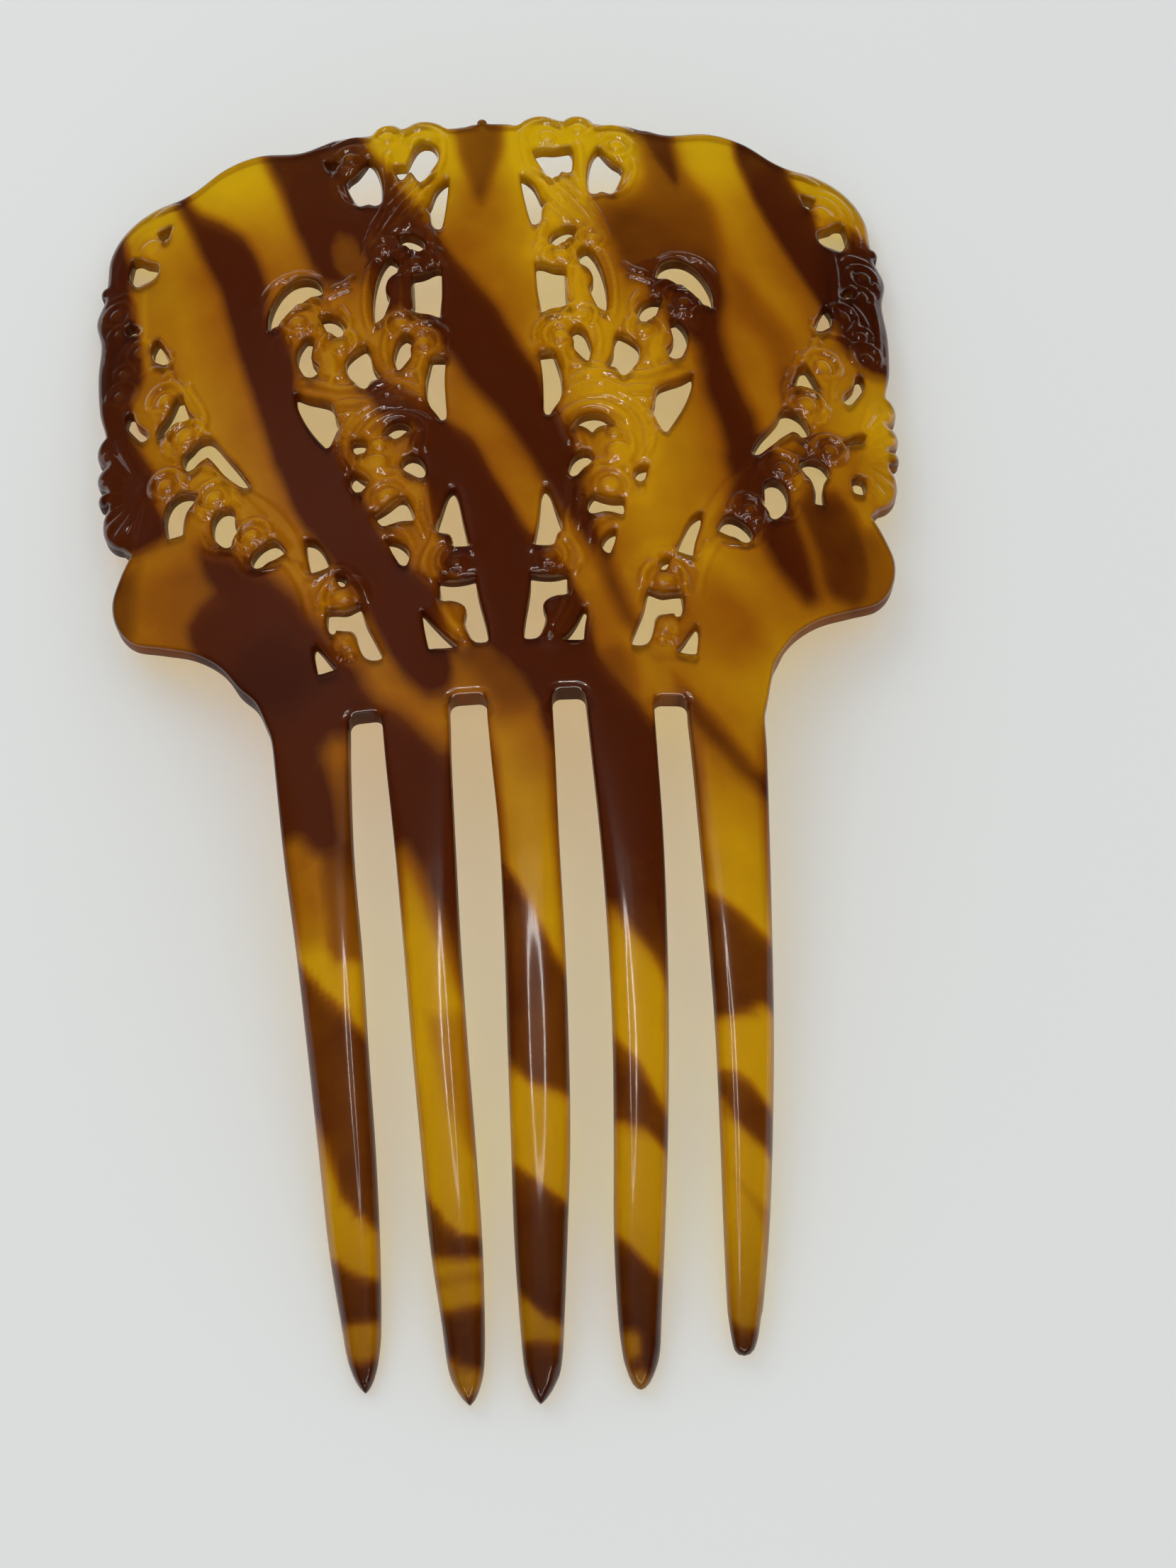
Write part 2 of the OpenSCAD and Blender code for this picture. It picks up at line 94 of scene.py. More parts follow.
# Pierced gaps of the right half. The first column is the side: 0 both, 1 right alone, -1 left
# alone, where the moulding differs. Then come the corners: x,y
GAPS = [
    # inner column, from the bar up
    [0, 2.1,2.7, 2.3,2.4, 3.6,2.4, 4.2,3.4, 4.6,4.6, 4.8,5.7, 4.4,6.9, 5,7.8, 6.5,8.4, 7.4,8.2, 7.6,11.1,
     6.2,10.7, 4.4,10.8, 3.3,11.1, 3.2,9, 2.5,5.7, 2.2,4],
    [1, 6.6,2.3, 8,3.7, 9.4,6.4, 9.8,5.9, 9.3,4, 9.1,2.2],
    [-1, 9.8,7.1, 8.6,5.4, 7.2,3.6, 5.8,2.1, 9.1,1.9, 9.6,4.8],
    [1, 5.1,22.4, 5.6,23.2, 6.2,22.4, 6.7,19.8, 7.4,17.3, 6.6,16.6, 6.2,15, 3.9,15, 4.3,16.9, 4.8,19.4],
    [-1, 5,22.4, 5.5,23.6, 6.2,23, 6.9,20.6, 7.6,18.6, 7.6,17.6, 6.2,17.5, 5.8,16.8, 5.7,15.4, 4,15.3,
     4.3,17.4, 4.7,20],
    [1, 12.1,15.3, 12.8,16.5, 13.8,17, 13.8,15.9, 13.4,14.7, 12.9,13.6, 12.3,13.8, 12,14.6],
    [-1, 11.5,13.3, 11,14.8, 11.6,16, 12.6,16.9, 13.8,17.2, 13.3,15.6, 12.7,14.4, 12.2,13.4],
    [1, 10.7,20.8, 11.5,22, 12.5,21.5, 13.8,21.2, 15,21.3, 15.1,20, 14.8,19, 13.8,19.4, 12.6,19.6,
     11.2,19.1, 10.7,19.4],
    [-1, 10.4,19.5, 10.8,21.4, 11.3,22.7, 12.2,22.9, 13.4,21.8, 15.1,20.9, 15,20.2, 14.2,19.1, 13.3,19.3,
     12,19.6],
    [1, 8.8,26.3, 9.2,27.2, 10,28, 11.1,28.3, 11.8,27.4, 11.2,26.2, 10.3,25.7, 9.6,24.8, 9.1,24.6,
     8.6,25.2],
    [-1, 8.9,25.6, 8.8,26.8, 9.3,28.1, 10.4,28.9, 11.5,28.4, 11.9,27.4, 11,26.4, 10,25.7, 9.4,25.4],
    [1, 16.5,24.8, 17.1,25.9, 18.3,26.2, 17.9,24.4, 17.2,23.8, 16.7,24.2],
    [-1, 15.9,25.6, 16.8,26.4, 17.6,27.2, 18.2,26.4, 17.8,24.9, 17,24.3, 16.5,24.7],
    [-1, 16.1,30.4, 16.5,29.9, 17.2,29.9, 17.7,30.6, 17.8,31.9, 16.7,31.9, 16.1,31.6],
    [1, 9.4,31.9, 10.2,33.2, 11.9,33.9, 13.5,33.6, 14.6,32, 13.3,32, 12.3,31.6, 11.8,30.8, 11.3,31.5,
     10.4,32],
    [-1, 10.4,32.6, 11,33.6, 12.4,33.9, 13.4,33.3, 14,32.4, 13,32, 12.5,31.4, 11.9,31.6, 11.2,32.3],
    [0, 5.9,43.2, 7.6,43.4, 7.9,42, 8.3,40.2, 8.4,38, 8.1,36.1, 7.2,34.8, 6.6,33.7, 6,34, 6.1,36.3,
     6.2,39.7],
    [0, 15.4,45.2, 16,46.4, 17,45.9, 18.2,44.9, 18.6,43.9, 18.1,41.9, 17.2,40.8, 16.4,39.6, 16,39.6,
     15.6,40.9, 14.2,41.1, 14.9,42.4, 15.3,43.6],
    [0, 9.9,46.5, 10.8,47.3, 11.7,46.7, 12.2,44.9, 12.4,43.6, 11.9,41.8, 11.4,42.2, 10.6,43.3, 10.2,44.1,
     10.4,45.2],
    [0, 6.1,57.8, 6.9,57.9, 8.3,57.1, 9.7,57, 9.6,52.4, 9.9,50.9, 8.9,50.4, 7.5,50.1, 6.6,49.6, 6.2,52.4,
     6.1,54.7],
    [0, 11.7,58.6, 11.8,59.9, 12.8,60.5, 13.6,59.4, 14.3,57.4, 14.8,54.7, 14.9,51.9, 14.6,49.8, 13.9,50.1,
     13.2,51.9, 12.8,53.6, 13.4,54.9, 13.3,56.3, 12.7,57.2, 11.8,57.6],
    [0, 8.1,61.9, 8.4,62.8, 9.4,63.7, 10.6,64.3, 11.5,63.7, 11.1,62.4, 10.3,61.8, 9.4,60.9, 8.8,60.6,
     8.2,61],
    [0, 4.8,73.6, 5.6,73, 6.4,71.9, 6.9,70.3, 7.2,69.1, 7.8,68.4, 7.2,67.8, 7.2,66.3, 6.9,65.2, 6.2,64.6,
     5.8,65.1, 5.4,67.4, 5.1,69.7, 4.8,72.2],
    [-1, 8.5,73.2, 9.3,74.7, 9.7,75.3, 10.2,75.1, 10.7,74.1, 11.1,74, 11.6,75.1, 12,76.6, 11.3,76.8,
     10.3,76.6, 9.9,77.6, 9.4,79, 8.8,80.2, 7.9,80.9, 6.7,80.4, 6.1,78.8, 6.2,77.2, 7.1,75.5, 7.8,74.1],
    [1, 6.7,78, 7.8,78.5, 9.2,78.3, 10.3,78.5, 11.5,78.8, 11.9,77.7, 11.6,74.2, 11.1,73.8, 10.2,74.1,
     9.6,73.3, 9,72.9, 8.4,73.4, 7.8,74.9, 7.1,76.3],
    [0, 15.4,78.8, 14.6,77.7, 13.9,75, 13.7,71.9, 13.8,70.2, 14.6,70, 15.3,70.6, 16.4,70.3, 16.9,70.6,
     17.8,72.7, 18.4,74.6, 18,75.6, 17,76.2, 16.2,77.4],
    [-1, 21.5,79.5, 20.7,79.1, 19.8,79.2, 19.7,78, 20.2,77.4, 20.9,78],
    # branch column
    [0, 24.9,40.4, 23.5,39.4, 21.8,38.7, 20.2,37.9, 20,35.8, 19.4,34.4, 20,33.3, 20.6,31.6, 21,31.3,
     21.9,32.4, 23.3,34.7, 24.4,37.2, 24.9,39],
    [0, 22.7,48.6, 23.6,49, 24.5,47.8, 24.9,45.8, 24.5,44.3, 23.8,43, 23.1,42.5, 22.3,42.8, 22,43.8,
     22.7,44.7, 23.1,45.8, 22.9,46.9],
    [0, 18.8,49.7, 19.2,50.9, 20,51.8, 21,52.2, 21.9,52, 21.3,50.5, 20.8,49.3, 20.1,48.7, 19.3,48.3,
     18.8,48.8],
    [0, 21.5,55.8, 21.7,57, 22.2,58, 23.6,58.9, 25.3,58.9, 26.8,57.8, 27.9,55.9, 28.6,53.6, 28.5,51.2,
     27.6,51.5, 26.7,52.6, 25.7,53.7, 24.7,54.6, 23.6,55.1, 22.5,55.5],
    # outer column, from the bar up
    [0, 14.6,1.6, 15,1.2, 16.3,1.4, 17.1,2.5, 17.5,4, 17.6,4.8, 18,5.5, 19,5.7, 20.2,5.8, 20.3,5.1,
     20.8,5.4, 21.2,6.7, 21.1,8.5, 20,8.4, 18.9,8.1, 18.1,8.4, 17.2,8.8, 16.9,7.7, 16.5,6.1, 15.7,4.4,
     14.8,2.3],
    [0, 20,0.7, 20.9,1.7, 21.7,3, 22.6,4.2, 22.9,3.4, 22.3,0.2, 21.4,0.3],
    [0, 18.7,12, 19.2,12.9, 20.1,13.2, 19.8,12, 19.2,11.5],
    [1, 21,14.3, 21.7,16, 22.5,17.6, 23.3,18.9, 24.4,19.6, 24.3,18.2, 23.5,16.1, 23,14.3, 22.9,13.5,
     21.9,13.8],
    [-1, 20.9,14.4, 21.2,15.8, 21.8,17.2, 22.6,18.2, 23.7,18.6, 23.5,16.4, 23,13.9, 22,14.1],
    [0, 26.2,17.3, 27,18.9, 28,19.3, 29.4,18.7, 30.6,17.2, 30.3,16.2, 29.7,15.6, 29.2,15.8, 28.3,16.5,
     27.2,16.6],
    [0, 32.6,24.4, 33.6,25.2, 34.8,25, 35.6,23.5, 35.3,21.1, 34.5,20.1, 33.6,19.4, 33.1,19.6, 33.1,20.5,
     32.3,21.1, 32.7,22.2],
    [1, 37.4,27.6, 38.3,28.8, 39.7,29, 40.9,28.4, 41.5,26.9, 40.7,26, 40.2,24.9, 40.2,22.9, 40.4,22.2,
     39,22.2, 39.3,24.1, 39,25.8, 38.2,26.6],
    [-1, 41.8,26.4, 41.1,28.1, 39.8,28.8, 38.4,28.5, 37.4,27.7, 38.5,26.6, 39.3,25.4, 39.4,22.6,
     41.3,22.5, 41.7,24.6],
    [1, 44.2,26.4, 44.9,27.2, 45.8,27, 46,25.6, 45.5,24.6, 44.4,24.7],
    [-1, 30.7,27.6, 32,30.1, 34,33.1, 35.4,35.4, 36.4,36.4, 37.7,36.2, 38.5,35.2, 39.4,34.6, 39.7,33.2,
     39,31.9, 38.2,32.1, 37.5,32.9, 36.3,33.4, 35.4,32.3, 34.2,30.3, 32.5,28.4, 31.4,27.4],
    [1, 31.7,28.7, 32.1,29.9, 33.2,31.7, 34.5,33.2, 35.6,34.7, 36,35.9, 37.2,36.1, 38.5,35.4, 39.2,34.1,
     39.5,33, 38.9,32.2, 38.3,32.1, 38,32.6, 37.3,32.9, 36.7,32.6, 35.6,31.8, 34.5,30.7, 33.4,29.6,
     32.3,28.5],
    [1, 43.8,32.3, 44.7,32.8, 45.8,33.6, 46.8,33.8, 46.6,32.7, 45.3,32.3, 44.4,32],
    [1, 38.2,40.2, 38.8,41.6, 39.3,43.2, 40.1,43.4, 40.9,41.6, 41.6,40, 40.8,39.6, 39.6,39.9],
    [-1, 40.7,43.8, 40,43.7, 39.5,41.4, 38.4,39.8, 39.6,39.5, 41.2,39.7, 42.9,37.9, 43.4,38.7, 42.8,39.9,
     41.7,41.3],
    [0, 44.6,38.6, 44.9,39.8, 45.3,40.3, 46,41, 46.5,41.8, 46.8,43.3, 47.5,43.5, 47.9,42, 47.3,40.8,
     46.5,39.7, 45.7,38.5, 45.1,38.2],
    [0, 41.9,49.8, 42.4,51.1, 43.1,53, 43.9,54.4, 44.6,53, 44.4,51.1, 43.6,50.4, 42.8,49.8],
    [0, 46.6,56.5, 47.4,56.3, 48.4,57, 48.4,58.2, 47.6,58.3, 47,57.6],
    [0, 44.3,67.6, 45.3,68.3, 46.4,68.9, 47.2,69.9, 48.2,70, 48.6,67.6, 48.2,66.1, 47.6,65, 47.1,64.7,
     46.4,65, 44.7,65.2, 44.3,66.3],
    [0, 42.8,74, 43.7,73.9, 44.6,73.3, 44.1,72.2, 43.5,71.6, 43.1,72.4],
]

# Scrolls of the right half, each a rounded ridge that winds round a centre: centre x, centre y, then
# radius, angle and width at the start and at the end, height
SCROLLS = [
    # inner column, from the bar up
    [5.5, 13, 2.3, 1.9, 150, -110, 1, 0.7, 0.6], [5.4, 12.9, 3.6, 3.8, 80, -40, 1.1, 0.7, 0.4],
    [13.4, 22.6, 3.9, 3.9, 190, -10, 1, 0.8, 0.5], [13.4, 22.8, 2.6, 2.5, 200, -20, 0.9, 0.7, 0.45],
    [12.2, 30.4, 4.5, 4.5, 155, 15, 1.6, 1.2, 0.6], [12.6, 30.4, 5.9, 5.9, 120, -20, 0.9, 0.7, 0.5],
    [13, 30.6, 6.6, 6.2, 120, -40, 0.9, 0.7, 0.6], [13.2, 28.6, 3.6, 3.2, 40, -120, 0.9, 0.7, 0.6],
    [17.5, 44.5, 7.4, 7.4, 215, 285, 1.5, 0.8, 0.5], [8.6, 45.2, 2.2, 1.7, 60, 300, 1, 0.7, 0.8],
    [8.6, 45.2, 3.6, 3.2, 20, 200, 0.9, 0.7, 0.6], [10.6, 45.2, 5.4, 5.4, 140, 30, 1, 0.8, 0.6],
    [11.4, 48.5, 2.1, 1.8, 200, -60, 0.9, 0.7, 0.7], [20, 54, 8.6, 8.6, 160, 200, 1.8, 1, 0.5],
    [9.3, 58.6, 2.2, 1.9, 210, -150, 0.9, 0.7, 0.8], [9.3, 58.8, 3.3, 3.1, 170, 20, 0.9, 0.6, 0.6],
    [13.5, 61.6, 1.9, 1.6, 160, -150, 0.8, 0.6, 0.6], [17.5, 67, 5.2, 5.2, 150, 245, 1.4, 0.8, 0.5],
    [8.6, 80.2, 3.4, 2.4, 215, 10, 1.2, 0.8, 0.6], [12.9, 82, 1.8, 1.6, 200, -60, 0.9, 0.7, 0.5],
    [17.8, 78.7, 2.3, 1.8, 150, -150, 1, 0.7, 0.5],
    # branch column
    [24.4, 51.6, 3.7, 3.5, 158, -20, 1, 0.7, 0.7], [24.5, 51.5, 2.6, 1.8, 150, -150, 0.9, 0.7, 0.8],
    [25.2, 55.2, 4.4, 4.4, 150, 10, 0.9, 0.6, 0.45], [19.6, 46.6, 2.6, 2.1, 220, -30, 1.1, 0.8, 0.8],
    [26.5, 42.6, 6.4, 6.4, 150, 205, 1.5, 1, 0.5],
    # outer column, from the bar up
    [19.4, 9.7, 2.9, 2, 200, -130, 1.1, 0.8, 0.8], [19.8, 9.8, 4, 3.9, 110, -30, 1.1, 0.8, 0.3],
    [19, 3.2, 1.5, 1.1, 190, -50, 0.9, 0.6, 0.5], [42, 5, 19.2, 19, 172, 134, 1.3, 1.1, 0.35],
    [41, 13, 17, 16.6, 166, 122, 1.2, 1, 0.3], [30.4, 20.1, 2.4, 1.7, 200, -90, 1, 0.7, 0.8],
    [35.4, 26.7, 2.7, 1.9, 200, -100, 1.1, 0.8, 0.7], [41.8, 30.2, 2.4, 1.7, 220, -90, 1.1, 0.8, 0.8],
    [39.5, 36.9, 2.8, 2.1, 230, -60, 1.1, 0.8, 0.8], [42.5, 43.6, 2.8, 1.9, 230, -90, 1.1, 0.8, 0.8],
    [44.6, 46, 3.4, 3, 200, 20, 1, 0.7, 0.5], [48.7, 46.6, 2.3, 1.6, 240, -90, 1, 0.7, 0.8],
    [48.4, 49.8, 1.7, 1.4, 200, -60, 0.8, 0.6, 0.7], [46.3, 52.6, 2.3, 1.6, 250, -60, 1, 0.7, 0.8],
    [49.3, 56.9, 1.8, 1.5, 230, -80, 0.8, 0.6, 0.6], [50, 60.4, 2.3, 1.7, 260, -70, 1.1, 0.7, 0.7],
    [45.6, 71, 3, 2.2, 150, -60, 1.2, 0.8, 0.4],
]
# Leaves and veins of the right half, each a smooth rounded ridge: width, height, then points x,y
VEINS = [
    # inner column, from the bar up
    [1.6, 0.7, 5.2,3.4, 6.4,5, 7.2,6.8, 7.9,7.9], [0.8, 0.4, 5.2,2.6, 5.8,3.4, 5.4,4.4, 4.9,3.8],
    [1.2, 0.5, 9.7,11.8, 9.2,13.8, 8.4,15.6, 7.6,18], [1.1, 0.5, 7.7,17.6, 8.6,20.4, 8.8,24.2],
    [0.9, 0.5, 9.2,16.6, 10,19.4, 9.9,22, 10.8,24.6], [0.9, 0.4, 10.6,15, 11.4,17.4, 13.6,18.4],
    [1, 0.5, 9,29, 8.4,31, 8.4,33], [1, 0.5, 10.4,28.8, 10,30.6, 9.4,31.8],
    [0.9, 0.5, 12,36.6, 14.4,36.4, 16,37], [0.9, 0.55, 15.6,37, 18,37.6, 20.4,37.2],
    [0.8, 0.5, 16.4,35.4, 18.4,35.8, 19.8,34.8], [0.8, 0.45, 17.4,33.6, 18.8,34.2, 19.6,33],
    [1.2, 0.5, 9,38, 12.5,39.8, 16,39.4, 20,40, 24.2,42.4], [0.9, 0.45, 8.6,36.6, 11.6,38, 15,38.2],
    [0.9, 0.45, 9.2,41.2, 11.4,40.8, 14,41], [0.9, 0.45, 18.6,41.6, 21.4,42.6, 22,44.6],
    [0.8, 0.4, 18.4,39, 21.8,40.6, 24.6,41.6], [1, 0.5, 8.8,38.6, 9.2,41.4, 8.6,43],
    [0.9, 0.5, 13.2,42.4, 13.6,45, 13.2,47.6], [1.6, 0.6, 11.4,50.4, 11.2,53.6, 11.4,57],
    [0.6, 0.45, 10.3,51.6, 10.2,54.4, 10.2,57], [0.6, 0.45, 12.5,51.6, 12.3,54.6, 12.2,56.6],
    [0.8, 0.4, 6.2,48.6, 9.4,50.6, 13.2,49.6], [0.9, 0.5, 15.4,48, 16,52, 15.8,56, 14.8,60],
    [0.9, 0.5, 6.6,59.6, 6.8,62, 7.8,64.6], [1, 0.7, 6.2,74.6, 8.8,71.6, 11.3,68.4, 13.3,65, 14.8,61.6],
    [0.9, 0.6, 7,72, 9,69.6, 11,67, 12.6,64.2], [0.8, 0.55, 7.9,70.2, 9.4,68, 10.8,66, 11.9,64.4],
    [0.8, 0.5, 8,68, 9.2,66.4, 10.4,65.2], [0.9, 0.6, 8.8,73.2, 11.6,70.2, 13.6,66.6, 15.4,62.4],
    [0.9, 0.5, 11.6,73, 13.2,69.4, 15,65.4, 16.2,61], [1.1, 0.5, 12.8,79.6, 12.9,76, 12.9,72.4, 13.4,69.4],
    [1, 0.5, 5.4,80.6, 5.4,77, 6,74.4], [1, 0.45, 19.7,77, 20,74.4, 18.8,71, 16.4,69],
    [0.9, 0.4, 4.8,82.4, 7.8,83.8, 10.8,82.8], [0.9, 0.4, 14.8,81.6, 17.6,82.4, 20.6,81.2],
    # branch column
    [0.9, 0.5, 17.4,57.6, 18.6,56.6, 20.4,56], [0.8, 0.5, 17.8,55.6, 19.4,55.2, 21,54.4],
    [0.9, 0.5, 22,48.6, 21.6,50.4, 22.2,52.4], [0.9, 0.5, 21.5,47.4, 21.3,44.6, 20.4,41.8],
    [0.9, 0.5, 18,48, 18,50.4, 19.2,53], [0.8, 0.4, 25.8,47.6, 26,49.6, 25.4,51.6],
    # outer column, from the bar up
    [1.1, 0.5, 17.8,3, 18.8,4.6, 20.8,5], [1, 0.25, 16.2,8.6, 16.8,11.2, 18.4,13.6],
    [0.9, 0.5, 22.2,12.4, 23.8,13.2, 25,15.4], [1.2, 0.3, 24.6,17.4, 27.4,21.8, 31,26.6, 34.2,31],
    [0.8, 0.4, 31.4,24.6, 33,26.8, 34.4,29.4, 36,31.4], [0.9, 0.5, 26,15.6, 28,15.2, 30.8,15.6, 32,18],
    [0.9, 0.5, 36.4,23.6, 37.6,25.6, 37.2,28.4], [0.8, 0.45, 31.6,17.8, 33.6,18.6, 35.8,19.4, 37,22],
    [1, 0.5, 35.2,30.4, 37,31.6, 39,30.6, 39.6,28.8], [0.9, 0.5, 40,33.6, 41.6,34.8, 42.4,37],
    [0.9, 0.4, 43,38, 43.4,40.6, 44.6,42.6], [0.9, 0.5, 36.8,36.8, 36.8,39.6, 38.4,43, 39.4,45.6],
    [0.9, 0.5, 42.4,47, 41.8,49, 41.8,51.4], [0.9, 0.5, 45.2,48.6, 45.4,51, 45.6,55.6, 46,60, 46,64],
    [0.9, 0.5, 50.6,57.6, 50.9,53, 50.6,48.6, 50,44.6], [0.8, 0.5, 47.4,55.4, 48.8,53.4, 49.4,51.6],
    [0.8, 0.5, 47,61.8, 48.4,63.6, 51,63.4], [0.8, 0.4, 49.8,70, 50.2,67.6, 49.8,65.4],
    [0.8, 0.5, 41.6,77, 43.4,77, 45.6,76.1], [1.1, 0.3, 44.6,75, 47.4,74.6, 49.2,72.4, 49.6,69.8],
]
# Ribs of the shell at the side, which fan out from one point: angle, length
SHELL = [44.6, 30]
SHELL_RIBS = [[-74, 6.4], [-58, 6.4], [-40, 5.8], [-22, 5.6], [-4, 5.8], [12, 6.2], [28, 6.6], [42, 7.6],
              [54, 9.2], [66, 9.6]]
# Round centres of the scrolls: x, y, radius
BOSSES = [
    [5.5, 12.8, 1.1], [13.5, 22.8, 1.3], [14.9, 27.7, 1.5], [14.5, 30.4, 0.9], [8.7, 45.3, 1],
    [11.4, 48.6, 1], [9.4, 58.6, 1.1], [17.9, 78.6, 1.1], [24.8, 51.2, 1.1], [19.3, 46.7, 1.2],
    [19.3, 9.6, 1.2], [30.4, 20, 1], [35.3, 26.6, 1.1], [41.8, 30.1, 1.1], [39.4, 36.9, 1.3],
    [42.3, 43.4, 1.1], [48.7, 46.2, 0.9], [46.1, 52.6, 1], [50, 60.4, 1], [45.5, 70.8, 1.3],
    [13.5, 61.6, 0.8], [48.4, 49.8, 0.8], [49.3, 56.9, 0.8], [12.9, 81.8, 0.9], [8.7, 80.3, 1.1],
    [19, 3.3, 0.7], [5.2, 2.9, 0.5], [18.3, 1.7, 0.5], [19.6, 2, 0.4],
]

